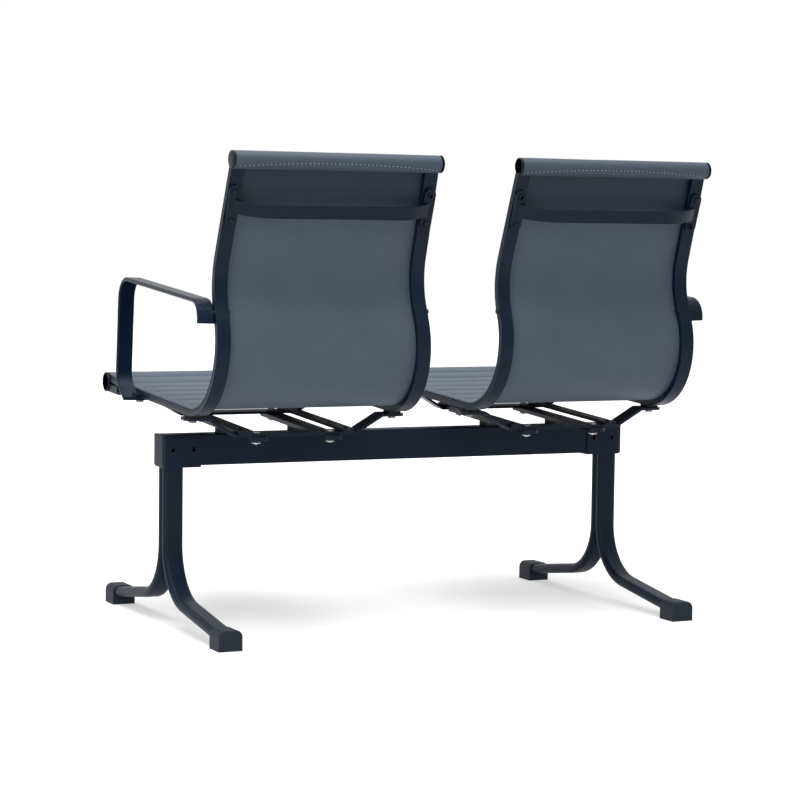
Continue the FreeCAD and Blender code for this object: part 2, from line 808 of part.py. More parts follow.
def spreader_screw_seat(number, side, depth):
    """x, place and turn of a spreader screw whose seat is a depth behind the rail's back face."""
    origin, lean = back_frame(mm.spreader_up)
    local = Vector(0, depth, number * mm.tab_screw_spread / 2.0)
    spot = origin.add(lean.multVec(local))
    x = side * (side_half_width(mm.spreader_up) - mm.rail_width / 2.0)
    return x, spot, lean.multiply(Rotation(Vector(1, 0, 0), 90))


def make_spreader(seat, label):
    """Bowed flat bar between the rails with a screwed tab on each."""
    origin, lean = back_frame(mm.spreader_up)
    tab_x = side_half_width(mm.spreader_up) - mm.rail_width / 2.0
    turn = math.radians(mm.spreader_bend_angle)
    radius = mm.spreader_bend_radius
    half = mm.spreader_thickness / 2.0
    end_y = mm.tab_thickness / 2.0 + half * math.cos(turn)
    rise = radius * (1.0 - math.cos(turn))
    flat_x = tab_x - radius * math.sin(turn)
    centre_y = end_y + rise - radius
    pieces = []

    def arc_point(side, share, offset):
        angle = turn * share
        reach = radius + offset
        return Vector(side * (flat_x + reach * math.sin(angle)), centre_y + reach * math.cos(angle), 0)

    for offset, order in ((half, 1), (-half, -1)):
        ends = (-1, 1) if order > 0 else (1, -1)
        pieces.append(Part.Arc(arc_point(ends[0], 1.0, offset), arc_point(ends[0], 0.5, offset),
                               arc_point(ends[0], 0.0, offset)))
        pieces.append(Part.LineSegment(arc_point(ends[0], 0.0, offset), arc_point(ends[1], 0.0, offset)))
        pieces.append(Part.Arc(arc_point(ends[1], 0.0, offset), arc_point(ends[1], 0.5, offset),
                               arc_point(ends[1], 1.0, offset)))
        pieces.append(Part.LineSegment(arc_point(ends[1], 1.0, offset), arc_point(ends[1], 1.0, -offset)))
    body = new_body(label)
    bow = new_sketch(body, "XY_Plane", label + "_bow")
    close_loop(bow, pieces)
    pad(body, bow, "$spreader_height", both_ways=True)
    tabs = new_sketch(body, "XZ_Plane", label + "_tabs")
    for side in (-1, 1):
        slot_upright(tabs, (side * tab_x, 0), mm.tab_width, mm.tab_height)
    pad(body, tabs, "$tab_thickness", reverse=True)
    holes = new_sketch(body, "XZ_Plane", label + "_holes")
    for side in (-1, 1):
        for number in (-1, 1):
            circle(holes, (side * tab_x, number * mm.tab_screw_spread / 2.0), mm.screw_radius + mm.fit_gap,
                   "$screw_radius + $fit_gap")
    cut_through(body, holes)
    place(body, seat * mm.seat_pitch / 2.0, origin.y, origin.z, lean)
    return keep(body, label)


def slot_upright(sketch, centre, width, height):
    """A flat oval standing along the sketch's second axis."""
    half = (height - width) / 2.0
    radius = width / 2.0
    x, y = centre
    pieces = [
        Part.LineSegment(Vector(x + radius, y - half, 0), Vector(x + radius, y + half, 0)),
        Part.Arc(Vector(x + radius, y + half, 0), Vector(x, y + half + radius, 0), Vector(x - radius, y + half, 0)),
        Part.LineSegment(Vector(x - radius, y + half, 0), Vector(x - radius, y - half, 0)),
        Part.Arc(Vector(x - radius, y - half, 0), Vector(x, y - half - radius, 0), Vector(x + radius, y - half, 0)),
    ]
    close_loop(sketch, pieces)


# Sling: one padded sheet from the top roll, down the back, over the seat and round the front

def channel_pieces(offset, crown):
    """Sitter's side of the sling between the rolls: shallow arcs between sewn seams."""
    elements = chain[BACK:FRONT + 1]
    lengths = [element.path_length(offset) for element in elements]
    total = sum(lengths)
    count = int(round(total / mm.channel_pitch))

    def at(distance, height):
        for element, length in zip(elements, lengths):
            if distance <= length or element is elements[-1]:
                return yz(element.point(min(distance / length, 1.0), height))
            distance -= length

    pieces = []
    for number in range(count):
        start = total * number / count
        end = total * (number + 1) / count
        pieces.append(Part.Arc(at(start, offset), at((start + end) / 2.0, offset + crown), at(end, offset)))
    return pieces


def make_sling(seat, label):
    near = mm.rail_thickness + mm.soft_gap
    far = sling_outer
    pieces = outline_piece(chain[WRAP], far, 0.0, 1.0)
    pieces += channel_pieces(far, mm.channel_crown)
    pieces += outline_piece(chain[CURL], far, 0.0, 1.0)
    pieces += outline_piece(chain[TAIL], far, 0.0, 1.0)
    pieces.append(Part.LineSegment(yz(chain[TAIL].point(1.0, far)), yz(chain[TAIL].point(1.0, near))))
    for element in reversed(chain):
        pieces += outline_piece(element, near, 1.0, 0.0)
    pieces.append(Part.LineSegment(yz(chain[WRAP].point(0.0, near)), yz(chain[WRAP].point(0.0, far))))
    sheet_body = padded_profile(label + "_side_view", pieces, mm.seat_half_width + 20.0)
    low, high = 0.0, 1000.0
    corners = [Vector(-side_half_width(low) + mm.sling_inset, low, 0),
               Vector(side_half_width(low) - mm.sling_inset, low, 0),
               Vector(side_half_width(high) - mm.sling_inset, high, 0),
               Vector(-side_half_width(high) + mm.sling_inset, high, 0)]
    trim = new_body(label + "_trim")
    outline = new_sketch(trim, "XZ_Plane", label + "_trim_outline")
    close_loop(outline, polygon(corners))
    feature = trim.newObject("PartDesign::Pad", label + "_trim_pad")
    feature.Profile = outline
    feature.Midplane = True
    feature.Length = 1600.0
    sling = doc.addObject("Part::Common", label)
    sling.Base = sheet_body
    sling.Tool = trim
    place(sling, seat * mm.seat_pitch / 2.0, 0, 0)
    return keep(sling, label)


# Under-seat frame: straps, blocks and bars lie in a frame tilted like the seat

slope_turn = Rotation(Vector(1, 0, 0), -mm.seat_slope)


def seat_line(ahead):
    """Point under the rails at a distance ahead, on the straight part of the seat."""
    element = chain[SEAT]
    start = element.point(0.0, 0.0)
    run = (ahead - start[0]) / math.sin(math.radians(90.0 + mm.seat_slope))
    spot = element.point(run / mm.seat_run, 0.0)
    place_yz = yz(spot)
    return Vector(0, place_yz.x, place_yz.y)


def under_seat(ahead, depth):
    """Point a depth square below the rails' under face."""
    return seat_line(ahead).add(slope_turn.multVec(Vector(0, 0, -depth)))


strap_places = (mm.strap_ahead,
                mm.strap_ahead + mm.strap_spacing * math.cos(math.radians(mm.seat_slope)))
flat_depth = mm.block_height + mm.strap_drop


def rail_bolt_spot(number, side):
    """x, place and turn of a rail bolt where it enters the rail."""
    x = side * (mm.seat_half_width - mm.rail_width / 2.0)
    spot = under_seat(strap_places[number], 0.0)
    return x, spot, slope_turn


def make_strap(seat, number, label):
    """A bent cross strap: a low flat middle and two arms that rise to lugs under the rails."""
    thick = mm.strap_thickness
    flat, start, end = mm.strap_flat_half, mm.strap_lug_start, mm.strap_lug_end
    rise = mm.strap_drop - thick
    angle = math.atan2(rise, start - flat)
    shift = thick * math.tan(angle / 2.0)
    upper = [(flat - shift, 0.0), (start - shift, rise), (end, rise)]
    lower = [(flat, -thick), (start, rise - thick), (end, rise - thick)]
    corners = [(-x, z) for x, z in reversed(upper)] + upper
    corners += [(x, z) for x, z in reversed(lower)] + [(-x, z) for x, z in lower]
    body = new_body(label)
    outline = new_sketch(body, "XZ_Plane", label + "_outline")
    close_loop(outline, polygon([Vector(x, z, 0) for x, z in corners]))
    base = pad(body, outline, "$strap_width", both_ways=True)

    def bend_lines(point, along):
        return abs(along.y) > 0.9 and abs(abs(point.x) - end) > 1.0

    def lug_corners(point, along):
        return abs(along.z) > 0.9 and abs(abs(point.x) - end) < 0.1

    rounded = round_edges(body, base, bend_lines, "$strap_thickness * 2 / 3")
    tips = round_edges(body, rounded, lug_corners, "$strap_width / 3")
    holes = new_sketch(body, "XY_Plane", label + "_holes")
    rail_x = mm.seat_half_width - mm.rail_width / 2.0
    for x in (-rail_x, -mm.lower_bar_place, mm.lower_bar_place, rail_x):
        circle(holes, (x, 0), mm.bolt_radius + mm.fit_gap, "$bolt_radius + $fit_gap")
    for x in (-mm.upper_bar_place, mm.upper_bar_place):
        circle(holes, (x, 0), mm.screw_radius + mm.fit_gap, "$screw_radius + $fit_gap")
    cut_through(body, holes)
    spot = under_seat(strap_places[number], flat_depth - thick)
    place(body, seat * mm.seat_pitch / 2.0, spot.y, spot.z, slope_turn)
    return keep(body, label)


def make_blocks(label):
    """Spacer blocks between the strap lugs and the rails."""
    members = []
    for seat in (-1, 1):
        for number in (0, 1):
            for side in (-1, 1):
                name = "%s_%d" % (label, len(members) + 1)
                x, spot, turn = rail_bolt_spot(number, side)
                body = new_body(name)
                outline = new_sketch(body, "XY_Plane", name + "_outline")
                rectangle(outline, (0, 0), "$block_width", "$block_length", mm.block_width, mm.block_length)
                circle(outline, (0, 0), mm.bolt_radius + mm.fit_gap, "$bolt_radius + $fit_gap")
                pad(body, outline, "$block_height", reverse=True)
                place(body, seat * mm.seat_pitch / 2.0 + x, spot.y, spot.z, turn)
                members.append(body)
    return group(label, members)


def bar_frame():
    """Middle between the straps, at the under face of their flats."""
    return under_seat((strap_places[0] + strap_places[1]) / 2.0, flat_depth)


def make_lower_bar(seat, side, label):
    """Flat bar bolted under both straps; it carries the seat on the beam."""
    body = new_body(label + "_flat")
    length = mm.strap_spacing + 2 * mm.bar_overhang
    outline = new_sketch(body, "XY_Plane", label + "_outline")
    rectangle(outline, (0, 0), "$lower_bar_width", "$strap_spacing + 2 * $bar_overhang",
              mm.lower_bar_width, length)
    base = pad(body, outline, "$lower_bar_thickness", reverse=True)
    rounded = round_edges(body, base, lambda point, along: abs(along.z) > 0.9, "$bar_corner")
    holes = new_sketch(body, "XY_Plane", label + "_holes")
    for fore in (-1, 1):
        circle(holes, (0, fore * mm.strap_spacing / 2.0), mm.bolt_radius + mm.fit_gap,
               "$bolt_radius + $fit_gap")
    cut_through(body, holes)
    spot = bar_frame()
    place(body, seat * mm.seat_pitch / 2.0 + side * mm.lower_bar_place, spot.y, spot.z, slope_turn)
    drilled = doc.addObject("Part::Cut", label + "_drilled")
    drilled.Base = body
    drilled.Tool = beam_screw_tools(seat, side, label)
    return keep(drilled, label)


def beam_screw_top(y):
    """Height of a lower bar's top face above a point of the beam's top."""
    spot = bar_frame()
    return spot.z + (spot.y - y) * math.tan(math.radians(mm.seat_slope))


def beam_screw_tools(seat, side, label):
    """Countersunk clearance for the two screws that hold a lower bar to the beam."""
    tools = []
    x = seat * mm.seat_pitch / 2.0 + side * mm.lower_bar_place
    for fore in (-1, 1):
        y = beam_y + fore * mm.beam_screw_spread / 2.0
        top = beam_screw_top(y)
        tools.append(turned_cylinder("%s_clear_%d" % (label, fore + 1), "$beam_screw_radius + $fit_gap", "40",
                                     x, y, top - 30.0, Rotation()))
        sink = doc.addObject("Part::Cone", "%s_sink_%d" % (label, fore + 1))
        bind(sink, "Radius1", "$beam_screw_radius + $fit_gap")
        bind(sink, "Radius2", "$beam_screw_head_radius + $fit_gap")
        bind(sink, "Height", "$beam_screw_head_radius - $beam_screw_radius")
        place(sink, x, y, top - (mm.beam_screw_head_radius - mm.beam_screw_radius) - 1.0)
        well = turned_cylinder("%s_well_%d" % (label, fore + 1), "$beam_screw_head_radius + $fit_gap", "20",
                               x, y, top - 1.0, Rotation())
        tools += [sink, well]
    tool = doc.addObject("Part::MultiFuse", label + "_screw_clearance")
    tool.Shapes = tools
    return tool


def make_beam_screws(label):
    """Countersunk screws through the lower bars and pads into the beam."""
    members = []
    for number, (x, spread) in enumerate(beam_screw_places(), start=1):
        y = beam_y + spread
        top = beam_screw_top(y) - 1.0
        head_height = mm.beam_screw_head_radius - mm.beam_screw_radius
        length = top - head_height - (mm.beam_top - mm.beam_wall - 4.0)
        shank = doc.addObject("Part::Cylinder", "%s_shank_%d" % (label, number))
        bind(shank, "Radius", "$beam_screw_radius")
        shank.Height = length
        place(shank, x, y, top - head_height - length)
        head = doc.addObject("Part::Cone", "%s_head_%d" % (label, number))
        bind(head, "Radius1", "$beam_screw_radius")
        bind(head, "Radius2", "$beam_screw_head_radius")
        bind(head, "Height", "$beam_screw_head_radius - $beam_screw_radius")
        place(head, x, y, top - head_height)
        whole = doc.addObject("Part::Fuse", "%s_%d" % (label, number))
        whole.Base = head
        whole.Tool = shank
        members.append(whole)
    return group(label, members)


def make_beam_pads(label):
    """Tapered pads that make up the slope between the level beam and the tilted bars."""
    members = []
    half = mm.beam_depth / 2.0 - mm.beam_corner
    for seat in (-1, 1):
        for side in (-1, 1):
            name = "%s_%d" % (label, len(members) + 1)
            body = new_body(name)
            x = seat * mm.seat_pitch / 2.0 + side * mm.lower_bar_place
            under = mm.lower_bar_thickness / math.cos(math.radians(mm.seat_slope))
            rear = beam_screw_top(beam_y + half) - under - mm.beam_top
            front = beam_screw_top(beam_y - half) - under - mm.beam_top
            corners = [Vector(-half, 0, 0), Vector(half, 0, 0), Vector(half, rear, 0), Vector(-half, front, 0)]
            outline = new_sketch(body, "YZ_Plane", name + "_outline")
            close_loop(outline, polygon(corners))
            pad(body, outline, "$lower_bar_width", both_ways=True)
            holes = new_sketch(body, "XY_Plane", name + "_holes")
            for fore in (-1, 1):
                circle(holes, (0, fore * mm.beam_screw_spread / 2.0), mm.beam_screw_radius + mm.fit_gap,
                       "$beam_screw_radius + $fit_gap")
            cut_through(body, holes)
            place(body, x, beam_y, mm.beam_top)
            members.append(body)
    return group(label, members)


def make_upper_bar(seat, side, label):
    """Narrow stiffening bar screwed on top of both straps."""
    body = new_body(label)
    length = mm.strap_spacing + mm.strap_width
    outline = new_sketch(body, "XY_Plane", label + "_outline")
    rectangle(outline, (0, 0), "$upper_bar_width", "$strap_spacing + $strap_width", mm.upper_bar_width, length)
    base = pad(body, outline, "$upper_bar_thickness")
    rounded = round_edges(body, base, lambda point, along: abs(along.z) > 0.9, "$bar_corner / 3")
    holes = new_sketch(body, "XY_Plane", label + "_holes")
    for fore in (-1, 1):
        circle(holes, (0, fore * mm.strap_spacing / 2.0), mm.screw_radius + mm.fit_gap,
               "$screw_radius + $fit_gap")
    cut_through(body, holes)
    spot = under_seat((strap_places[0] + strap_places[1]) / 2.0, flat_depth - mm.strap_thickness)
    place(body, seat * mm.seat_pitch / 2.0 + side * mm.upper_bar_place, spot.y, spot.z, slope_turn)
    return keep(body, label)


def make_fasteners():
    """Bolts, nuts and screws, each kind as one group of separate solids."""
    upwards = slope_turn
    downwards = slope_turn.multiply(Rotation(Vector(1, 0, 0), 180))
    hexagon = ("hex", "$bolt_flats", "$bolt_head_height")
    pan = ("round", "$screw_head_radius", "$screw_head_height")
    rail_bolts, strap_bolts, strap_nuts, bar_screws, back_screws = [], [], [], [], []
    for seat in (-1, 1):
        seat_x = seat * mm.seat_pitch / 2.0
        for number in (0, 1):
            for side in (-1, 1):
                x = side * (mm.seat_half_width - mm.rail_width / 2.0)
                spot = under_seat(strap_places[number], mm.block_height + mm.strap_thickness)
                rail_bolts.append(bolt("rail_bolt_%d" % (len(rail_bolts) + 1), hexagon, "$bolt_radius",
                                       "$block_height + $strap_thickness + $bolt_grip_in_rail",
                                       (seat_x + x, spot.y, spot.z), upwards))
                x = side * mm.lower_bar_place
                spot = under_seat(strap_places[number], flat_depth - mm.strap_thickness)
                strap_bolts.append(bolt("strap_bolt_%d" % (len(strap_bolts) + 1),
                                        ("hex", "$bolt_flats", "$bolt_head_height / 2"), "$bolt_radius",
                                        "$strap_thickness + $lower_bar_thickness + $nut_height + 2",
                                        (seat_x + x, spot.y, spot.z), downwards))
                spot = under_seat(strap_places[number], flat_depth + mm.lower_bar_thickness + mm.nut_height)
                nut = new_body("strap_nut_%d" % (len(strap_nuts) + 1))
                outline = new_sketch(nut, "XY_Plane", nut.Name + "_outline")
                corner = mm.bolt_flats / math.sqrt(3.0)
                close_loop(outline, polygon([Vector(corner * math.cos(math.radians(60 * i)),
                                                    corner * math.sin(math.radians(60 * i)), 0)
                                             for i in range(6)]))
                circle(outline, (0, 0), mm.bolt_radius + mm.fit_gap, "$bolt_radius + $fit_gap")
                pad(nut, outline, "$nut_height")
                place(nut, seat_x + x, spot.y, spot.z, upwards)
                strap_nuts.append(nut)
                x = side * mm.upper_bar_place
                spot = under_seat(strap_places[number], flat_depth - mm.strap_thickness - mm.upper_bar_thickness)
                bar_screws.append(bolt("bar_screw_%d" % (len(bar_screws) + 1),
                                       ("round", "$screw_head_radius * 3 / 4", "$screw_head_height / 2"),
                                       "$screw_radius", "$strap_thickness + $upper_bar_thickness - 0.5",
                                       (seat_x + x, spot.y, spot.z), downwards))
                x, spot, turn = spreader_screw_seat(1 if number else -1, side, mm.tab_thickness)
                back_screws.append(bolt("back_screw_%d" % (len(back_screws) + 1), pan, "$screw_radius",
                                        "$screw_length", (seat_x + x, spot.y, spot.z), turn))
    group("rail_bolts", rail_bolts)
    group("strap_bolts", strap_bolts)
    group("strap_nuts", strap_nuts)
    group("bar_screws", bar_screws)
    group("spreader_screws", back_screws)


def make_saddle_screws(label):
    members = []
    for side in (-1, 1):
        for offset, cheek in saddle_screw_places():
            turn = Rotation(Vector(1, 0, 0), 90 * cheek)
            y = beam_y + cheek * (mm.beam_depth / 2.0 + mm.saddle_wall)
            name = "%s_%d" % (label, len(members) + 1)
            members.append(bolt(name, ("round", "$saddle_screw_radius * 2", "$saddle_screw_radius / 2"),
                                "$saddle_screw_radius", "$saddle_wall",
                                (side * saddle_x + offset, y, beam_mid_up), turn))
    return group(label, members)


# Armrests: one flat bar loop outside each end of the row

def arm_bolt_spots():
    """(ahead, up) of the two fixings of an armrest in a rail."""
    seat = chain[SEAT]
    reach = (mm.arm_toe_ahead - seat.start[0]) / mm.seat_run
    toe = seat.point(reach, mm.rail_thickness / 2.0)
    waist_turn = math.radians(mm.waist_angle)
    low = chain[3].point(1.0, mm.rail_thickness / 2.0)
    rear = (low[0] + (mm.arm_bolt_up - low[1]) * math.tan(waist_turn), mm.arm_bolt_up)
    return [rear, toe]


def arm_corner(previous, corner, following, radius):
    """Start, middle and end of the arc that rounds one corner of the armrest's line."""
    def unit(a, b):
        length = math.hypot(b[0] - a[0], b[1] - a[1])
        return ((b[0] - a[0]) / length, (b[1] - a[1]) / length)

    back = unit(corner, previous)
    onward = unit(corner, following)
    half = math.acos(back[0] * onward[0] + back[1] * onward[1]) / 2.0
    tangent = radius / math.tan(half)
    start = (corner[0] + back[0] * tangent, corner[1] + back[1] * tangent)
    end = (corner[0] + onward[0] * tangent, corner[1] + onward[1] * tangent)
    bisector = unit((0, 0), (back[0] + onward[0], back[1] + onward[1]))
    gap = radius / math.sin(half) - radius
    return start, (corner[0] + bisector[0] * gap, corner[1] + bisector[1] * gap), end


def make_arm(side, label):
    rear = (mm.arm_rear_ahead, mm.arm_rear_low)
    top_rear = (mm.arm_rear_ahead, mm.arm_top_rear)
    length = mm.arm_post_ahead - mm.arm_rear_ahead
    top_front = (mm.arm_post_ahead, mm.arm_top_rear + length * math.tan(math.radians(mm.arm_top_slope)))
    heel = (mm.arm_post_ahead, mm.arm_heel_up)
    toe = (mm.arm_toe_ahead, mm.arm_toe_up)
    bends = [arm_corner(rear, top_rear, top_front, mm.arm_rear_bend),
             arm_corner(top_rear, top_front, heel, mm.arm_top_bend),
             arm_corner(top_front, heel, toe, mm.arm_heel_bend)]
    body = new_body(label + "_loop")
    path = new_sketch(body, "YZ_Plane", label + "_path")

    def local(point):
        return Vector(rear[0] - point[0], point[1] - rear[1], 0)

    pieces = []
    last = rear
    for start, half, end in bends:
        pieces.append(Part.LineSegment(local(last), local(start)))
        pieces.append(Part.Arc(local(start), local(half), local(end)))
        last = end
    pieces.append(Part.LineSegment(local(last), local(toe)))
    open_line(path, pieces)
    section = new_sketch(body, "XY_Plane", label + "_section")
    wide, thick, edge = mm.arm_width / 2.0, mm.arm_thickness / 2.0, mm.arm_round
    slant = edge * (1.0 - math.sqrt(0.5))
    corners = [(wide, -thick, -1, 0, 0, 1), (wide, thick, 0, -1, -1, 0),
               (-wide, thick, 1, 0, 0, -1), (-wide, -thick, 0, 1, 1, 0)]
    rounds = []
    for x, y, ax, ay, bx, by in corners:
        start = Vector(x + ax * edge, y + ay * edge, 0)
        end = Vector(x + bx * edge, y + by * edge, 0)
        half = Vector(x + (ax + bx) * slant, y + (ay + by) * slant, 0)
        rounds.append((start, half, end))
    loop = []
    for number, (start, half, end) in enumerate(rounds):
        loop.append(Part.Arc(start, half, end))
        loop.append(Part.LineSegment(end, rounds[(number + 1) % 4][0]))
    close_loop(section, loop)
    bar = body.newObject("PartDesign::AdditivePipe", label + "_bar")
    bar.Profile = section
    bar.Spine = path
    inner = mm.seat_pitch / 2.0 + side_half_width(rear[1]) + mm.arm_gap
    place(body, side * (inner + mm.arm_width / 2.0), middle - rear[0], rear[1],
          Rotation(Vector(0, 1, 0), -side * mm.flare_angle))
    tools = []
    for ahead, up in arm_bolt_spots():
        spot = yz((ahead, up))
        tools.append(turned_cylinder(label + "_bore_%d" % len(tools), "$arm_bolt_radius + $fit_gap",
                                     "$arm_bolt_grip + 20", side * (inner - 20.0), spot.x, spot.y,
                                     Rotation(Vector(0, 1, 0), 90 * side)))
    bores = doc.addObject("Part::MultiFuse", label + "_bores")
    bores.Shapes = tools
    arm = doc.addObject("Part::Cut", label)
    arm.Base = body
    arm.Tool = bores
    return keep(arm, label)


def make_arm_bolts(label_bolts, label_plugs):
    """Bolts through the outer rails into the arms, and plugs in the unused holes between the seats."""
    bolts, plugs = [], []
    head = ("round", "$arm_bolt_head_radius", "$arm_bolt_head_height")
    for side in (-1, 1):
        for ahead, up in arm_bolt_spots():
            spot = yz((ahead, up))
            outer = side_half_width(up)
            inner_face = side * (mm.seat_pitch / 2.0 + outer - mm.rail_width - mm.end_gap)
            bolts.append(bolt("%s_%d" % (label_bolts, len(bolts) + 1), head, "$arm_bolt_radius",
                              "$rail_width + $arm_bolt_grip", (inner_face, spot.x, spot.y),
                              Rotation(Vector(0, 1, 0), 90 * side)))
            face = side * (mm.seat_pitch / 2.0 - outer - mm.end_gap)
            plugs.append(bolt("%s_%d" % (label_plugs, len(plugs) + 1),
                              ("round", "$plug_radius", "$plug_height"), "$arm_bolt_radius", "$rail_width / 2",
                              (face, spot.x, spot.y), Rotation(Vector(0, 1, 0), 90 * side)))
    group(label_bolts, bolts)
    group(label_plugs, plugs)


# Assembly

make_beam()
SIDES = ((-1, "left"), (1, "right"))
for side, word in SIDES:
    make_beam_cap(side, "beam_cap_" + word)
    make_saddle(side, "leg_saddle_" + word)
    for fore, end_word in ((-1, "front"), (1, "rear")):
        make_leg_tube(side, fore, "leg_tube_%s_%s" % (word, end_word))
        make_foot(side, fore, "foot_%s_%s" % (word, end_word))
    make_arm(side, "armrest_" + word)
for seat, seat_word in SIDES:
    for side, word in SIDES:
        make_rail(seat, side, "seat_%s_rail_%s" % (seat_word, word))
        make_lower_bar(seat, side, "seat_%s_lower_bar_%s" % (seat_word, word))
        make_upper_bar(seat, side, "seat_%s_upper_bar_%s" % (seat_word, word))
    make_rods(seat, "seat_%s_top_rod" % seat_word, "seat_%s_front_rod" % seat_word)
    make_spreader(seat, "seat_%s_spreader" % seat_word)
    make_strap(seat, 0, "seat_%s_rear_strap" % seat_word)
    make_strap(seat, 1, "seat_%s_front_strap" % seat_word)
    make_sling(seat, "seat_%s_sling" % seat_word)
make_roll_caps("top_roll_caps", roll_centre, "$rail_thickness + $soft_gap + $sling_thickness",
               "$rod_stub_radius", sling_outer)
make_roll_caps("front_roll_caps", curl_centre, "$curl_radius + $rail_thickness + $soft_gap + $sling_thickness",
               "$front_stub_radius", mm.curl_radius + sling_outer)
make_blocks("rail_blocks")
make_beam_pads("beam_pads")
make_beam_screws("beam_screws")
make_fasteners()
make_saddle_screws("saddle_screws")
make_arm_bolts("arm_bolts", "arm_hole_plugs")
doc.recompute()


def write_parts():
    """Checks every object, then writes each sub-part to its own file."""
    for item in doc.Objects:
        if "Invalid" in item.State or "Error" in item.State:
            raise RuntimeError("%s failed to rebuild: %s" % (item.Label, item.State))
    for item in sub_parts:
        if item.Shape.isNull() or not item.Shape.isValid() or not item.Shape.Solids:
            raise RuntimeError("%s has no valid solid" % item.Label)
    os.makedirs("parts", exist_ok=True)
    for item in sub_parts:
        item.Shape.exportStep(os.path.join("parts", item.Label + ".step"))


write_parts()
print("middle %.3f, rearmost %.3f, foremost %.3f, sub-parts %d" % (middle, rearmost, foremost, len(sub_parts)))
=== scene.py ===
import json
import math

import bmesh
import bpy
from mathutils import Matrix, Vector, noise


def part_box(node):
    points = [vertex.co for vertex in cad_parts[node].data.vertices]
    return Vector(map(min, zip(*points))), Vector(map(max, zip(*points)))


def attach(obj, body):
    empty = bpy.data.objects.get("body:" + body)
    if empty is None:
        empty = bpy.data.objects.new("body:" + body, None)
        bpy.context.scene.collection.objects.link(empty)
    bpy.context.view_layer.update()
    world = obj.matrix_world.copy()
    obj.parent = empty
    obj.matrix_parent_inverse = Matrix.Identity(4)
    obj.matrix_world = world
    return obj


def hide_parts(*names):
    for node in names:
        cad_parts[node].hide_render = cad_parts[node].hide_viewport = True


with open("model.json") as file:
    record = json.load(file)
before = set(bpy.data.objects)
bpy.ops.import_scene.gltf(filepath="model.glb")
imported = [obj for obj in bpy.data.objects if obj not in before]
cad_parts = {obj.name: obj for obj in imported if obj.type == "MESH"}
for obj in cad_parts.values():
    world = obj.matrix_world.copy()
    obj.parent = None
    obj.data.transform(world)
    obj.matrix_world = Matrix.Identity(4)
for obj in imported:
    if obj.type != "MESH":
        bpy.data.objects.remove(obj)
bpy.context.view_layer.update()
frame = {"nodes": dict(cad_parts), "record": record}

bl_info = {
    "name": "Two-seat beam seating",
    "version": (1, 0, 0),
    "blender": (4, 5, 0),
    "location": "3D View > Sidebar > Seating",
    "description": "Slings, stitching, hardware and finishes of a two-seat beam seating",
    "category": "Object",
}

MM = 0.001
SLING_INSET = 1.0 * MM
SEATS = ("left", "right")
BACK_LEAN = math.radians(20.0)
SEAT_SLOPE = math.radians(3.5)
BEHIND_BACK = Vector((0.0, math.cos(BACK_LEAN), -math.sin(BACK_LEAN)))
UNDER_SEAT = Vector((0.0, -math.sin(SEAT_SLOPE), -math.cos(SEAT_SLOPE)))


# Sizes and colours a user would change

class SlingSizes(bpy.types.PropertyGroup):
    """Sizes of the two slings and their sewing."""

    half_width: bpy.props.FloatProperty(
        name="Half width", description="Half the width over the rails at the seat",
        default=0.215, unit="LENGTH")
    flare: bpy.props.FloatProperty(
        name="Flare", description="Lean of each side as the back narrows upwards",
        default=math.radians(1.63), subtype="ANGLE")
    flare_level: bpy.props.FloatProperty(
        name="Flare level", description="Height at which the half width is measured",
        default=0.420, unit="LENGTH")
    near: bpy.props.FloatProperty(
        name="Back face", description="Distance of the sling's back from the rails' back face",
        default=0.0113, unit="LENGTH")
    far: bpy.props.FloatProperty(
        name="Front face", description="Distance of the sling's front from the rails' back face",
        default=0.0160, unit="LENGTH")
    crown: bpy.props.FloatProperty(
        name="Crown", description="Rise of the padding between two seams",
        default=0.0034, unit="LENGTH")
    seam_depth: bpy.props.FloatProperty(
        name="Seam depth", description="How far a seam pulls the cover in",
        default=0.0011, unit="LENGTH")
    channels: bpy.props.IntProperty(
        name="Channels", description="Sewn channels between the two rolls", default=16)
    stitch_pitch: bpy.props.FloatProperty(
        name="Stitch pitch", description="Distance from one stitch to the next",
        default=0.0046, unit="LENGTH")
    hem_pitch: bpy.props.FloatProperty(
        name="Hem pitch", description="Distance from one stitch of the hem to the next",
        default=0.0080, unit="LENGTH")
    stitch_length: bpy.props.FloatProperty(
        name="Stitch length", description="Length of one visible stitch",
        default=0.0032, unit="LENGTH")


class FinishColours(bpy.types.PropertyGroup):
    """Colours of the finishes."""

    cover: bpy.props.FloatVectorProperty(
        name="Cover", description="Coated cover of the slings", size=3, subtype="COLOR",
        default=(0.055, 0.076, 0.106), min=0.0, max=1.0)
    thread: bpy.props.FloatVectorProperty(
        name="Thread", description="Sewing thread", size=3, subtype="COLOR",
        default=(0.34, 0.38, 0.44), min=0.0, max=1.0)
    coating: bpy.props.FloatVectorProperty(
        name="Coating", description="Powder coating of rails, arms, beam and legs", size=3,
        subtype="COLOR", default=(0.0022, 0.0078, 0.0185), min=0.0, max=1.0)
    moulding: bpy.props.FloatVectorProperty(
        name="Mouldings", description="Feet, end caps and plugs", size=3, subtype="COLOR",
        default=(0.0080, 0.0135, 0.0225), min=0.0, max=1.0)
    zinc: bpy.props.FloatVectorProperty(
        name="Zinc", description="Plated nuts and bolts", size=3, subtype="COLOR",
        default=(0.72, 0.72, 0.70), min=0.0, max=1.0)
    screws: bpy.props.FloatVectorProperty(
        name="Black screws", description="Blackened socket screws", size=3, subtype="COLOR",
        default=(0.0045, 0.0075, 0.0120), min=0.0, max=1.0)


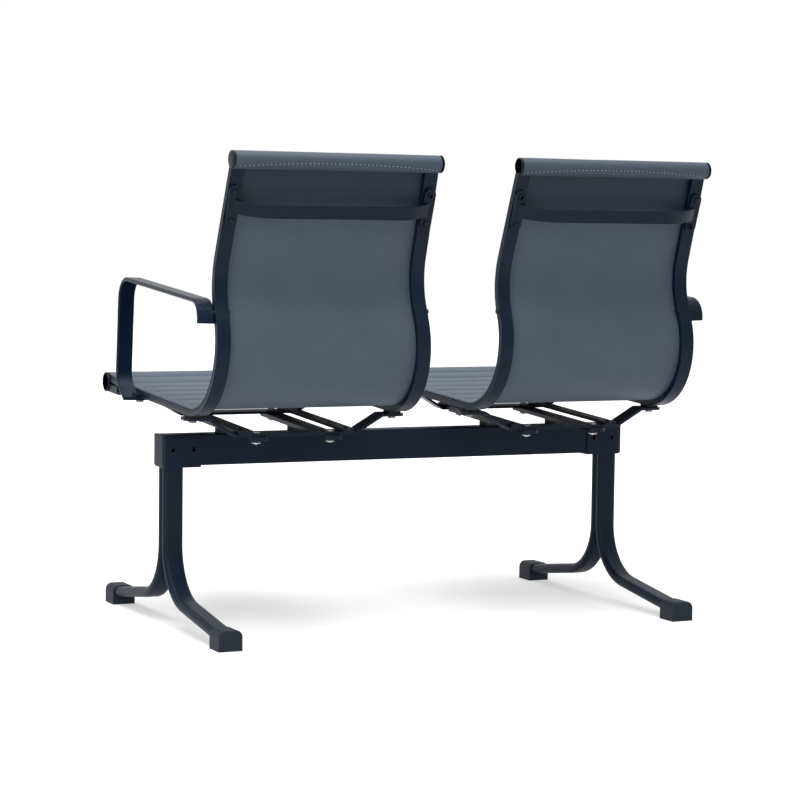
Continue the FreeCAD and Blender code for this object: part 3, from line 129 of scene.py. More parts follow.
class StageSettings(bpy.types.PropertyGroup):
    """Light and camera."""

    lens: bpy.props.FloatProperty(
        name="Lens", description="Focal length on a 36 mm frame", default=109.5)
    overhead: bpy.props.FloatProperty(
        name="Overhead", description="Power of the overhead panel in watts", default=150.0)
    side: bpy.props.FloatProperty(
        name="Side", description="Power of the side panel in watts", default=60.0)
    ambient: bpy.props.FloatProperty(
        name="Ambient", description="Strength of the surrounding light", default=0.38)


# Shader nodes written as arithmetic

class Wire:
    """A value or colour socket that can stand in plain arithmetic."""

    def __init__(self, finish, socket):
        self.finish = finish
        self.socket = socket

    def maths(self, operation, first, second):
        return self.finish.node("ShaderNodeMath", {"operation": operation}, {0: first, 1: second}).out()

    def __add__(self, other):
        return self.maths("ADD", self, other)

    def __radd__(self, other):
        return self.maths("ADD", other, self)

    def __sub__(self, other):
        return self.maths("SUBTRACT", self, other)

    def __rsub__(self, other):
        return self.maths("SUBTRACT", other, self)

    def __mul__(self, other):
        return self.maths("MULTIPLY", self, other)

    def __rmul__(self, other):
        return self.maths("MULTIPLY", other, self)

    def highest(self, other):
        return self.maths("MAXIMUM", self, other)

    def step(self, low, high, low_value=0.0, high_value=1.0):
        """Smooth passage from one value to another between two levels."""
        settings = {"interpolation_type": "SMOOTHSTEP"}
        inputs = {"Value": self, "From Min": low, "From Max": high,
                  "To Min": low_value, "To Max": high_value}
        return self.finish.node("ShaderNodeMapRange", settings, inputs).out("Result")


class Built:
    """A node just made; out() gives one of its outputs."""

    def __init__(self, finish, node):
        self.finish = finish
        self.node = node

    def out(self, name=0):
        return Wire(self.finish, self.node.outputs[name])


class Finish:
    """A material under construction."""

    def __init__(self, name):
        self.material = bpy.data.materials.new(name)
        self.material.use_nodes = True
        self.tree = self.material.node_tree
        self.tree.nodes.clear()
        self.shader = self.node("ShaderNodeBsdfPrincipled").node
        self.output = self.node("ShaderNodeOutputMaterial").node
        self.tree.links.new(self.shader.outputs[0], self.output.inputs["Surface"])

    def node(self, kind, settings=None, inputs=None):
        """Makes a node: its settings first, then the values or links of its sockets."""
        node = self.tree.nodes.new(kind)
        for name, value in (settings or {}).items():
            setattr(node, name, value)
        for name, value in (inputs or {}).items():
            self.feed(node.inputs[name], value)
        return Built(self, node)

    def feed(self, socket, value):
        if isinstance(value, Wire):
            self.tree.links.new(value.socket, socket)
        elif isinstance(value, (tuple, list)) and len(value) == 3 and socket.type == "RGBA":
            socket.default_value = (*value, 1.0)
        else:
            socket.default_value = value

    def place(self, kind="Object"):
        return self.node("ShaderNodeTexCoord").out(kind)

    def noise(self, place, scale, detail=2.0, roughness=0.5):
        inputs = {"Vector": place, "Scale": scale, "Detail": detail, "Roughness": roughness}
        return self.node("ShaderNodeTexNoise", {}, inputs).out(0)

    def cells(self, place, scale, feature="DISTANCE_TO_EDGE"):
        inputs = {"Vector": place, "Scale": scale}
        return self.node("ShaderNodeTexVoronoi", {"feature": feature}, inputs).out("Distance")

    def mark(self, name):
        """A value that the piece's mesh carries on each point."""
        return self.node("ShaderNodeAttribute", {"attribute_name": name}).out("Fac")

    def stretch(self, place, scale):
        inputs = {"Vector": place, "Scale": scale}
        return self.node("ShaderNodeMapping", {}, inputs).out()

    def blend(self, share, first, second):
        """Colour between two colours."""
        node = self.tree.nodes.new("ShaderNodeMix")
        node.data_type = "RGBA"
        for socket, value in ((node.inputs[0], share), (node.inputs[6], first), (node.inputs[7], second)):
            self.feed(socket, value)
        return Wire(self, node.outputs[2])

    def upward(self):
        """How much a face looks up, from its own normal."""
        normal = self.node("ShaderNodeNewGeometry").out("Normal")
        return self.node("ShaderNodeSeparateXYZ", {}, {0: normal}).out("Z")

    def bump(self, height, distance, strength=1.0, under=None):
        inputs = {"Height": height, "Distance": distance, "Strength": strength}
        if under is not None:
            inputs["Normal"] = under
        return self.node("ShaderNodeBump", {}, inputs).out("Normal")

    def rounded_edges(self, radius):
        """A normal that rounds sharp edges, and how near a point is to one."""
        rounded = self.node("ShaderNodeBevel", {"samples": BEVEL_SAMPLES}, {"Radius": radius}).out()
        flat = self.node("ShaderNodeNewGeometry").out("Normal")
        alike = self.node("ShaderNodeVectorMath", {"operation": "DOT_PRODUCT"}, {0: rounded, 1: flat})
        return rounded, alike.out("Value").step(SHARP, FLAT, 1.0, 0.0)

    def surface(self, **values):
        """Sets or links the shader's own sockets, named with underscores for spaces."""
        for name, value in values.items():
            self.feed(self.shader.inputs[name.replace("_", " ")], value)
        return self.material


def tint(colour, factor):
    return tuple(min(1.0, channel * factor) for channel in colour)


def toward(colour, other, share):
    return tuple(a + (b - a) * share for a, b in zip(colour, other))


# Finishes
# MOTTLE is the band of a cloudy noise between a finish's darker and lighter tone. SHARP and FLAT
# are how alike the rounded and the true normal are on an edge and away from it.

MOTTLE = (0.3, 0.7)
SHARP = 0.80
FLAT = 0.985
BEVEL_SAMPLES = 6
SEAM_SHADE_DARKNESS = 0.72
# Colour of the painted shadow that the top roll casts on the back of the sling
PAINTED_ROLL_SHADOW = (0.0025, 0.0105, 0.0230)
# Edge colour of the coating: wear together with a painted highlight
RUBBED_AND_HIGHLIT_COATING = (0.075, 0.095, 0.120)
RUBBED_MOULDING = (0.060, 0.070, 0.085)
RUBBED_SCREW = (0.035, 0.042, 0.052)
DUST = (0.16, 0.17, 0.18)
WARM_ZINC = (0.60, 0.58, 0.48)


def cover_finish(colours):
    """Coated cover: fine pebbled grain, light mottling, painted shade along the seams and lighter streaks on
    the padded crowns.
    """
    finish = Finish("sling_cover")
    base = tuple(colours.cover)
    along = finish.place("UV")
    grain = finish.cells(along, 620.0)
    pebble = finish.cells(along, 260.0, "SMOOTH_F1")
    cloud = finish.noise(along, 9.0, 4.0, 0.55)
    crease = finish.noise(finish.stretch(along, (14.0, 60.0, 1.0)), 3.0, 5.0, 0.6)
    padding = finish.mark("padding")
    shade = finish.mark("shade")
    # Colour of the painted shade in the seams' grooves; the pores take a darker copy of it
    dark = tint(base, SEAM_SHADE_DARKNESS)
    light = toward(tint(base, 1.22), (0.40, 0.42, 0.45), 0.05)
    tone = finish.blend(cloud.step(*MOTTLE), tint(base, 0.93), tint(base, 1.07))
    # Lighter streaks on the padded crowns, along a stretched noise
    crown_streaks = finish.blend(padding.step(0.35, 1.0) * crease.step(0.35, 0.75) * 0.55, tone, light)
    # Painted shade along the seams and wherever the padding is nothing, as on the rolls and the tail
    seams = finish.blend(padding.step(0.0, 0.28, 0.85, 0.0), crown_streaks, dark)
    pores = finish.blend(grain.step(0.0, 0.16, 0.35, 0.0), seams, tint(dark, 0.85))
    # Painted shade: the top roll's shadow on the back and the hem's groove
    shaded = finish.blend(shade, pores, PAINTED_ROLL_SHADOW)
    roughness = 0.46 + 0.10 * cloud + 0.08 * grain.step(0.0, 0.2, 1.0, 0.0)
    height = grain.step(0.0, 0.3) * 0.7 + pebble * 0.5 + crease * 0.35
    normal = finish.bump(height, 0.00022, 0.42)
    return finish.surface(Base_Color=shaded, Roughness=roughness, Normal=normal,
                          Specular_IOR_Level=0.30, Sheen_Weight=0.05, Sheen_Roughness=0.45)


def thread_finish(colours):
    """Twisted thread: fine helical ply lines."""
    finish = Finish("sewing_thread")
    base = tuple(colours.thread)
    where = finish.place()
    ply = finish.node("ShaderNodeTexWave", {"bands_direction": "DIAGONAL"},
                      {"Vector": where, "Scale": 900.0, "Distortion": 1.5}).out("Fac")
    fluff = finish.noise(where, 400.0, 3.0)
    twisted = finish.blend(ply, tint(base, 0.62), tint(base, 1.25))
    colour = finish.blend(fluff.step(0.4, 0.8, 0.0, 0.5), twisted, tint(base, 1.45))
    return finish.surface(Base_Color=colour,
                          Roughness=0.62 + 0.15 * fluff, Normal=finish.bump(ply, 0.0001, 0.5))


def coated_finish(name, colour, roughness):
    """Powder coating: orange peel, fine sparkle, dust on upward faces, scuffed patches, and lighter edges
    that are partly wear and partly a painted highlight.
    """
    finish = Finish(name)
    base = tuple(colour)
    where = finish.place()
    peel_height = finish.noise(where, 520.0, 3.0, 0.55)
    ripple = finish.noise(where, 140.0, 2.0)
    cloud = finish.noise(where, 7.0, 3.0)
    speck = finish.noise(where, 1500.0, 1.0)
    scuff = finish.noise(finish.stretch(where, (30.0, 6.0, 30.0)), 6.0, 6.0, 0.7)
    tone = finish.blend(cloud.step(*MOTTLE), tint(base, 0.85), tint(base, 1.18))
    rounded, edge = finish.rounded_edges(0.0010)
    patches = finish.blend(scuff.step(0.60, 0.76, 0.0, 0.30), tone, toward(base, (0.10, 0.12, 0.15), 0.35))
    # Lighter edges: partly wear, partly a painted highlight along the edges
    rubbed_and_highlit = finish.blend(edge * scuff.step(0.30, 0.70, 0.25, 0.80), patches, RUBBED_AND_HIGHLIT_COATING)
    dust = finish.upward().step(0.55, 1.0) * cloud.step(0.25, 0.8) * 0.10
    dusty = finish.blend(dust, rubbed_and_highlit, DUST)
    flake = toward(base, (0.2, 0.23, 0.27), 0.3)
    sparkle = finish.blend(speck.step(0.66, 0.80, 0.0, 0.22), dusty, flake)
    rough = roughness + 0.08 * (cloud - 0.5) + 0.12 * scuff.step(0.55, 0.8)
    normal = finish.bump(peel_height + 0.6 * ripple, 0.0001, 0.35, rounded)
    return finish.surface(Base_Color=sparkle, Roughness=rough, Normal=normal, Specular_IOR_Level=0.12)


def moulding_finish(colours):
    """Moulded plastic: spark-eroded grain and slightly paler scuffed rims."""
    finish = Finish("black_moulding")
    base = tuple(colours.moulding)
    where = finish.place()
    pits = finish.noise(where, 1100.0, 4.0, 0.6)
    cloud = finish.noise(where, 16.0, 3.0)
    scuff = finish.noise(finish.stretch(where, (40.0, 9.0, 60.0)), 5.0, 6.0, 0.7)
    tone = finish.blend(cloud.step(*MOTTLE), tint(base, 0.85), tint(base, 1.2))
    rounded, edge = finish.rounded_edges(0.0008)
    patches = finish.blend(scuff.step(0.60, 0.80, 0.0, 0.35), tone, toward(base, (0.14, 0.15, 0.17), 0.3))
    marked = finish.blend(edge * scuff.step(0.3, 0.7, 0.2, 0.6), patches, RUBBED_MOULDING)
    rough = 0.55 + 0.12 * cloud
    return finish.surface(Base_Color=marked, Roughness=rough,
                          Normal=finish.bump(pits, 0.00012, 0.4, rounded), Specular_IOR_Level=0.24)


def zinc_finish(colours):
    """Zinc plate: passivated mottling, fine turning lines and darker pits."""
    finish = Finish("zinc_plate")
    base = tuple(colours.zinc)
    where = finish.place()
    cloud = finish.noise(where, 120.0, 4.0, 0.6)
    lines = finish.noise(finish.stretch(where, (60.0, 60.0, 900.0)), 3.0, 3.0)
    tone = finish.blend(cloud.step(*MOTTLE), tint(base, 0.78), tint(base, 1.08))
    warm = finish.blend(cloud.step(0.55, 0.75, 0.0, 0.35), tone, WARM_ZINC)
    rough = 0.24 + 0.18 * cloud + 0.08 * lines
    return finish.surface(Base_Color=warm, Metallic=0.65, Roughness=rough,
                          Normal=finish.bump(lines, 0.00004, 0.4))


def black_screw_finish(colours):
    """Blackened steel: oily sheen with faint brown bloom and brighter rims."""
    finish = Finish("black_screws")
    base = tuple(colours.screws)
    where = finish.place()
    bloom = finish.noise(where, 260.0, 4.0, 0.6)
    rounded, edge = finish.rounded_edges(0.0002)
    tone = finish.blend(bloom.step(0.35, 0.7), tint(base, 0.7), tint(base, 1.5))
    rims = finish.blend(edge * 0.2, tone, RUBBED_SCREW)
    return finish.surface(Base_Color=rims, Roughness=0.34 + 0.15 * bloom,
                          Normal=finish.bump(bloom, 0.00003, 0.4, rounded), Specular_IOR_Level=0.14)


def rubber_finish():
    """Rubber of pads and blocks: matt, faintly bloomed."""
    finish = Finish("pad_rubber")
    where = finish.place()
    bloom = finish.noise(where, 45.0, 4.0, 0.6)
    pits = finish.noise(where, 900.0, 2.0)
    colour = finish.blend(bloom.step(0.35, 0.75), (0.010, 0.011, 0.012), (0.034, 0.035, 0.037))
    return finish.surface(Base_Color=colour, Roughness=0.72 + 0.15 * bloom,
                          Normal=finish.bump(pits, 0.0001, 0.4), Specular_IOR_Level=0.3)


FINISHES = {}


def finish_for(name):
    """The finish of one of the record's material slots, or the thread's or the black screws'."""
    if not FINISHES:
        colours = bpy.context.scene.seating_colours
        FINISHES["sling_weave"] = cover_finish(colours)
        FINISHES["thread"] = thread_finish(colours)
        FINISHES["frame_coating"] = coated_finish("frame_coating", colours.coating, 0.36)
        FINISHES["beam_coating"] = coated_finish("beam_coating", tint(tuple(colours.coating), 1.05), 0.42)
        FINISHES["black_moulding"] = moulding_finish(colours)
        FINISHES["zinc_fasteners"] = zinc_finish(colours)
        FINISHES["black_screws"] = black_screw_finish(colours)
        FINISHES["pad_rubber"] = rubber_finish()
    return FINISHES[name]


# The seat seen from the side
# A chain of straight and curved stretches runs along the rails' back face. Heading 0 points
# straight down and grows towards the front; the sitter's side is at heading + 90 degrees.

class Stretch:
    """One stretch: curve 0 is straight, 1 has its centre on the sitter's side and -1 behind."""

    def __init__(self, start, first, last, size, curve):
        self.first = first
        self.last = last
        self.size = size
        self.curve = curve
        turn = math.radians(first)
        if curve:
            self.start = Vector((start.x + curve * size * math.cos(turn),
                                 start.y + curve * size * math.sin(turn)))
        else:
            self.start = start

    def at(self, share, offset):
        """(ahead, up) at a share of the stretch and an offset towards the sitter."""
        turn = math.radians(self.first + (self.last - self.first) * share)
        if self.curve:
            reach = self.size - self.curve * offset
            return Vector((self.start.x - self.curve * reach * math.cos(turn),
                           self.start.y - self.curve * reach * math.sin(turn)))
        return Vector((self.start.x + math.sin(turn) * self.size * share + math.cos(turn) * offset,
                       self.start.y - math.cos(turn) * self.size * share + math.sin(turn) * offset))

    def length(self, offset):
        if self.curve:
            return abs(math.radians(self.last - self.first)) * (self.size - self.curve * offset)
        return self.size

    def heading(self, share):
        return math.radians(self.first + (self.last - self.first) * share)


WRAP_HEADING = 275.0
PADDING_POWER = 2.6
HEM_AT_SIDES = 11.7 * MM
HEM_RISE = 10.5 * MM
HEM_BOW = 0.7
SIDE_VIEW = (  # first and last heading, length or radius in metres, curve
    (20.0, 20.0, 0.183, 0),      # back
    (20.0, -22.0, 0.130, -1),    # lumbar
    (-22.0, -22.0, 0.018, 0),    # waist
    (-22.0, 93.5, 0.133, 1),     # corner
    (93.5, 93.5, 0.310, 0),      # seat
    (93.5, 97.0, 0.600, 1),      # rise
    (97.0, 97.0, 0.115, 0),      # front
    (97.0, -87.0, 0.0035, -1),   # curl
    (-87.0, -87.0, 0.062, 0),    # tail under the front
)


class SeatSide:
    """The whole side view, measured along the sling's sitter side from its free top end."""

    def __init__(self, sizes):
        self.sizes = sizes
        low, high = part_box("seat_left_top_rod")
        roll = Vector((-(low.y + high.y) / 2.0, (low.z + high.z) / 2.0))
        self.stretches = [Stretch(roll, WRAP_HEADING, SIDE_VIEW[0][0], 0.0, -1)]
        start = roll
        for first, last, size, curve in SIDE_VIEW:
            stretch = Stretch(start, first, last, size, curve)
            self.stretches.append(stretch)
            start = stretch.at(1.0, 0.0)
        self.lengths = [stretch.length(sizes.far) for stretch in self.stretches]
        self.total = sum(self.lengths)
        self.body_start = self.lengths[0]
        self.body_end = sum(self.lengths[:-2])

    def find(self, distance):
        for stretch, length in zip(self.stretches, self.lengths):
            if distance <= length or stretch is self.stretches[-1]:
                return stretch, min(max(distance / length, 0.0), 1.0)
            distance -= length

    def point(self, distance, offset, across):
        stretch, share = self.find(distance)
        spot = stretch.at(share, offset)
        return Vector((across, -spot.x, spot.y))

    def heading(self, distance):
        stretch, share = self.find(distance)
        return stretch.heading(share)

    def half_width(self, distance):
        """Half width of the sling at a distance along it."""
        stretch, share = self.find(distance)
        up = stretch.at(share, self.sizes.far).y
        return self.outer_half(up) - SLING_INSET

    def outer_half(self, up):
        """Half the distance over the rails' outer faces at a height."""
        return self.sizes.half_width - (up - self.sizes.flare_level) * math.tan(self.sizes.flare)

    def seams(self):
        span = (self.body_end - self.body_start) / self.sizes.channels
        return [self.body_start + span * number for number in range(self.sizes.channels + 1)]

    def hem(self, across):
        """Distance of the hem's stitches from the sling's free top end."""
        share = min(abs(across) / self.half_width(HEM_AT_SIDES), 1.0)
        return HEM_AT_SIDES + HEM_RISE * math.cos(share * math.pi / 2.0) ** HEM_BOW

    def padding(self, distance):
        """0 on a seam and beyond the last ones, 1 in the middle of a channel."""
        if distance <= self.body_start or distance >= self.body_end:
            return 0.0
        span = (self.body_end - self.body_start) / self.sizes.channels
        share = ((distance - self.body_start) / span) % 1.0
        return 1.0 - abs(2.0 * share - 1.0) ** PADDING_POWER


def smooth(value, low, high):
    share = min(max((value - low) / (high - low), 0.0), 1.0)
    return share * share * (3.0 - 2.0 * share)


# Pieces

def seat_middle(seat):
    """Place of a seat's middle across the model."""
    low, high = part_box("seat_%s_top_rod" % seat)
    return (low.x + high.x) / 2.0


def new_piece(name, mesh, material):
    """Links a finished mesh as a piece of the fixed body, with smooth faces."""
    mesh.normal_update()
    data = bpy.data.meshes.new(name)
    mesh.to_mesh(data)
    mesh.free()
    for polygon in data.polygons:
        polygon.use_smooth = True
    piece = bpy.data.objects.new(name, data)
    bpy.context.scene.collection.objects.link(piece)
    data.materials.append(material)
    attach(piece, "root")
    return piece


SLING_COLUMNS = 72
SLING_ROWS = 500
HEM_ROWS = 60
HEM_SPAN = 45.0 * MM
EDGE_STEPS = 4
EDGE_LIP = 0.12
EDGE_FADE = (2.0 * MM, 20.0 * MM)
SEAM_REACH = 3.5 * MM
PUCKERED = (4.0 * MM, 20.0 * MM)
SEAM_PUCKER = 0.22 * MM
RIPPLE = 0.35 * MM
RIPPLE_ON_CROWN = 0.10


def sling_mesh(side, sizes, seat_x, seed):
    """The padded sling: a grid wrapped along the side view, given a second face and shaped."""
    mesh = bmesh.new()
    bmesh.ops.create_grid(mesh, x_segments=SLING_COLUMNS, y_segments=SLING_ROWS, size=1.0)
    bmesh.ops.extrude_face_region(mesh, geom=mesh.faces[:] + mesh.edges[:] + mesh.verts[:],
                                  use_keep_orig=True)
    padding = mesh.verts.layers.float.new("padding")
    # The shade attribute holds painted shade: the top roll's shadow on the back and the hem's groove
    shade = mesh.verts.layers.float.new("shade")
    uv = mesh.loops.layers.uv.new("cover_uv")
    half = len(mesh.verts) // 2
    middle = (sizes.far + sizes.near) / 2.0
    flat = {}
    for number, vertex in enumerate(mesh.verts):
        front = number >= half
        column = round((vertex.co.x + 1.0) / 2.0 * SLING_COLUMNS)
        row = round((1.0 - vertex.co.y) / 2.0 * SLING_ROWS)
        distance = row_distance(side, row)
        wide = side.half_width(distance)
        across, rise = edge_profile(column, wide, (sizes.far - sizes.near) / 2.0)
        if front:
            offset = middle + rise + front_bulge(side, sizes, across, distance, wide - abs(across), seed)
        else:
            offset = middle - rise
        flat[vertex] = (across, distance)
        vertex[padding] = side.padding(distance) if front else 0.5
        vertex[shade] = cover_shade(side, distance, across, front)
        vertex.co = side.point(distance, offset, seat_x + across)
    for face in mesh.faces:
        for loop in face.loops:
            loop[uv].uv = flat[loop.vert]
    bmesh.ops.recalc_face_normals(mesh, faces=mesh.faces)
    return mesh


def row_distance(side, row):
    """Distance of a row along the sling; the rows of the hem lie closer."""
    if row > HEM_ROWS:
        return HEM_SPAN + (side.total - HEM_SPAN) * (row - HEM_ROWS) / (SLING_ROWS - HEM_ROWS)
    return HEM_SPAN * row / HEM_ROWS


def edge_profile(column, wide, radius):
    """Place across the sling and rise from its middle, with both side edges rounded."""
    from_edge = min(column, SLING_COLUMNS - column)
    sign = -1.0 if column < SLING_COLUMNS / 2.0 else 1.0
    if from_edge < EDGE_STEPS:
        turn = math.pi / 2.0 * from_edge / EDGE_STEPS
        rise = radius * (math.sin(turn) if from_edge else EDGE_LIP)
        return sign * (wide - radius * (1.0 - math.cos(turn))), rise
    share = (column - EDGE_STEPS) / (SLING_COLUMNS - 2 * EDGE_STEPS) * 2.0 - 1.0
    return share * (wide - radius), radius


def front_bulge(side, sizes, across, distance, from_side, seed):
    """Padding, pulled-in seams, puckers, ripples and hem on the sitter's side."""
    edge_fade = smooth(from_side, *EDGE_FADE)
    nearest = min(abs(distance - seam) for seam in side.seams())
    pucker = noise.noise(Vector((across * 60.0, distance * 25.0, seed)))
    ripple = noise.noise(Vector((across * 9.0, distance * 14.0, seed + 4.0)))
    bulge = sizes.crown * side.padding(distance) * edge_fade * (1.0 + RIPPLE_ON_CROWN * ripple)
    bulge -= sizes.seam_depth * math.exp(-(nearest / SEAM_REACH) ** 2) * edge_fade
    if PUCKERED[0] < nearest < PUCKERED[1]:
        bulge += SEAM_PUCKER * pucker * edge_fade
    bulge += RIPPLE * ripple * edge_fade
    if distance < HEM_SPAN:
        bulge += hem_shape(distance - side.hem(across), pucker)
    return bulge


def hem_shape(past, pucker):
    """Rise of the folded hem up to its stitches, the groove they pull and the puckers beside it."""
    fold = 0.5 * MM * (1.0 - smooth(past, -1.0 * MM, 1.0 * MM))
    groove = 0.7 * MM * math.exp(-(past / (1.4 * MM)) ** 2)
    return fold - groove + 0.5 * MM * pucker * math.exp(-(past / (6.0 * MM)) ** 2)


def cover_shade(side, distance, across, front):
    """Painted shade along the hem's groove, and painted shadow of the top roll on the back down to the
    spreader.
    """
    if front:
        return 0.45 * math.exp(-((distance - side.hem(across)) / (1.6 * MM)) ** 2)
    below = distance - side.body_start
    dark = 0.96 * smooth(below, -4.0 * MM, 4.0 * MM)
    easing = 1.0 - 0.25 * smooth(below, 10.0 * MM, 75.0 * MM)
    return dark * easing * (1.0 - smooth(below, 82.0 * MM, 118.0 * MM))


class SEATING_OT_slings(bpy.types.Operator):
    """Build the two padded slings"""

    bl_idname = "seating.slings"
    bl_label = "Slings"

    def execute(self, context):
        sizes = context.scene.seating_sling
        side = SeatSide(sizes)
        for seed, seat in enumerate(SEATS):
            mesh = sling_mesh(side, sizes, seat_middle(seat), 3.0 + 7.0 * seed)
            piece = new_piece("sling_" + seat, mesh, finish_for("sling_weave"))
            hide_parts("seat_%s_sling" % seat)
        return {"FINISHED"}


SEAM_STITCH_WIDTH = 0.8 * MM
HEM_STITCH_WIDTH = 1.4 * MM
HEM_STITCH_SHARE = 0.55
STITCH_LIFT = 0.1 * MM
SEAM_END = 12.0 * MM
EDGE_ROW = 5.5 * MM
HEM_END = 10.0 * MM
HEM_SPREAD_AT = 20.0 * MM
ACROSS = Vector((1.0, 0.0, 0.0))


def add_stitch(mesh, spot, run, out, length, width):
    """One short rounded stitch lying along run, raised towards out."""
    side = run.cross(out).normalized()
    turn = Matrix((run, side, out)).transposed().to_4x4()
    size = Matrix.Diagonal((length / 2.0, width / 2.0, width / 2.6, 1.0))
    bmesh.ops.create_icosphere(mesh, subdivisions=1, radius=1.0,
                               matrix=Matrix.Translation(spot) @ turn @ size)


class SEATING_OT_stitching(bpy.types.Operator):
    """Sew the seams, the side edges and the hem of each sling"""

    bl_idname = "seating.stitching"
    bl_label = "Stitching"

    def execute(self, context):
        sizes = context.scene.seating_sling
        side = SeatSide(sizes)
        for seat in SEATS:
            seat_x = seat_middle(seat)
            mesh = bmesh.new()
            self.seam_rows(mesh, side, sizes, seat_x)
            self.edge_rows(mesh, side, sizes, seat_x)
            self.hem_row(mesh, side, sizes, seat_x)
            new_piece("stitching_" + seat, mesh, finish_for("thread"))
        return {"FINISHED"}

    def frame_at(self, side, distance):
        """The way along the sling and the way out of it."""
        heading = side.heading(distance)
        run = Vector((0.0, -math.sin(heading), -math.cos(heading)))
        out = Vector((0.0, -math.cos(heading), math.sin(heading)))
        return run, out

    def seam_rows(self, mesh, side, sizes, seat_x):
        for distance in side.seams():
            out = self.frame_at(side, distance)[1]
            reach = side.half_width(distance) - SEAM_END
            count = int(2.0 * reach / sizes.stitch_pitch)
            for number in range(count + 1):
                across = -reach + 2.0 * reach * number / count
                spot = side.point(distance, sizes.far - sizes.seam_depth + STITCH_LIFT, seat_x + across)
                add_stitch(mesh, spot, ACROSS, out, sizes.stitch_length, SEAM_STITCH_WIDTH)

    def edge_rows(self, mesh, side, sizes, seat_x):
        span = side.total - side.body_start
        count = int(span / sizes.stitch_pitch)
        for number in range(1, count):
            distance = side.body_start + span * number / count
            run, out = self.frame_at(side, distance)
            inset = side.half_width(distance) - EDGE_ROW
            for sign in (-1.0, 1.0):
                spot = side.point(distance, sizes.far + STITCH_LIFT, seat_x + sign * inset)
                add_stitch(mesh, spot, run, out, sizes.stitch_length, SEAM_STITCH_WIDTH)

    def hem_row(self, mesh, side, sizes, seat_x):
        reach = side.half_width(HEM_SPREAD_AT) - HEM_END
        count = int(2.0 * reach / sizes.hem_pitch)
        for number in range(count + 1):
            across = -reach + 2.0 * reach * number / count
            distance = side.hem(across)
            out = self.frame_at(side, distance)[1]
            spot = side.point(distance, sizes.far + STITCH_LIFT, seat_x + across)
            add_stitch(mesh, spot, ACROSS, out, sizes.hem_pitch * HEM_STITCH_SHARE, HEM_STITCH_WIDTH)


RING = 24
ROUND, HEXAGON, BEVELLED = range(3)
BOLT_RADIUS = 4.0 * MM
WASHER = 1.3 * MM
FLATS = 6.5 * MM
THREAD_PITCH = 1.25 * MM
CREASE = math.radians(35.0)


def skin(mesh, stations):
    """A closed body through rings of points, each ring grown from the one before."""
    ring = mesh.verts.layers.int.get("ring") or mesh.verts.layers.int.new("ring")
    made = bmesh.ops.create_circle(mesh, cap_ends=True, segments=len(stations[0]), radius=1.0)
    for number, vertex in enumerate(made["verts"]):
        vertex[ring] = number
        vertex.co = stations[0][number]
    face = made["verts"][0].link_faces[0]
    for points in stations[1:]:
        grown = bmesh.ops.extrude_face_region(mesh, geom=[face])
        face = next(item for item in grown["geom"] if isinstance(item, bmesh.types.BMFace))
        for vertex in face.verts:
            vertex.co = points[vertex[ring]]


def turned(mesh, top, axis, profile):
    """A turned body: rings of a radius and shape at depths below its outer end."""
    across = axis.orthogonal().normalized()
    other = axis.cross(across)
    stations = []
    for radius, depth, shape in profile:
        points = []
        for number in range(RING):
            turn = math.tau * number / RING
            reach = radius
            if shape != ROUND:
                reach = radius / math.cos(turn % (math.pi / 3.0) - math.pi / 6.0)
            fall = depth + (reach - radius) * (0.6 if shape == BEVELLED else 0.0)
            points.append(top - axis * fall + (across * math.cos(turn) + other * math.sin(turn)) * reach)
        stations.append(points)
    skin(mesh, stations)


def socket_screw(head, height, shank, length):
    """Button head with a hexagon socket, and its shank."""
    socket = head * 0.42
    return [(socket, height * 0.6, HEXAGON), (socket, height * 0.03, HEXAGON), (head * 0.56, 0.0, ROUND),
            (head * 0.70, height * 0.05, ROUND), (head * 0.85, height * 0.22, ROUND),
            (head * 0.95, height * 0.48, ROUND), (head, height * 0.80, ROUND), (head, height, ROUND),
            (shank, height, ROUND), (shank, length - 0.5 * MM, ROUND), (shank * 0.8, length, ROUND)]


def threads(start, end):
    """Rings of a thread's crests and roots from one depth to another."""
    rings = []
    for number in range(int((end - start) / THREAD_PITCH)):
        rings.append((BOLT_RADIUS, start + THREAD_PITCH * (number + 0.35), ROUND))
        rings.append((BOLT_RADIUS * 0.86, start + THREAD_PITCH * (number + 0.95), ROUND))
    return rings


def hexagon_bolt(height, length):
    """Hexagon head on a washer, plain shank and threaded end."""
    washer = max(height - WASHER, height * 0.6)
    return [(FLATS * 0.55, 0.25 * MM, ROUND), (FLATS * 0.70, 0.0, ROUND), (FLATS * 0.95, 0.0, ROUND),
            (FLATS, 0.1 * MM, BEVELLED), (FLATS, washer, HEXAGON), (FLATS * 1.22, washer, ROUND),
            (FLATS * 1.28, washer + 0.2 * MM, ROUND), (FLATS * 1.28, height, ROUND),
            (BOLT_RADIUS, height, ROUND), (BOLT_RADIUS, length * 0.55, ROUND),
            *threads(length * 0.55, length - 0.8 * MM), (BOLT_RADIUS * 0.75, length, ROUND)]


def hexagon_nut(height):
    """Hexagon nut on a washer; its middle is filled by the bolt's threaded end."""
    washer = height - WASHER
    return [(BOLT_RADIUS * 0.7, 0.4 * MM, ROUND), (BOLT_RADIUS * 1.12, 0.0, ROUND),
            (FLATS * 0.95, 0.0, ROUND), (FLATS, 0.1 * MM, BEVELLED), (FLATS, washer, HEXAGON),
            (FLATS * 1.25, washer, ROUND), (FLATS * 1.31, washer + 0.2 * MM, ROUND),
            (FLATS * 1.31, height, ROUND)]


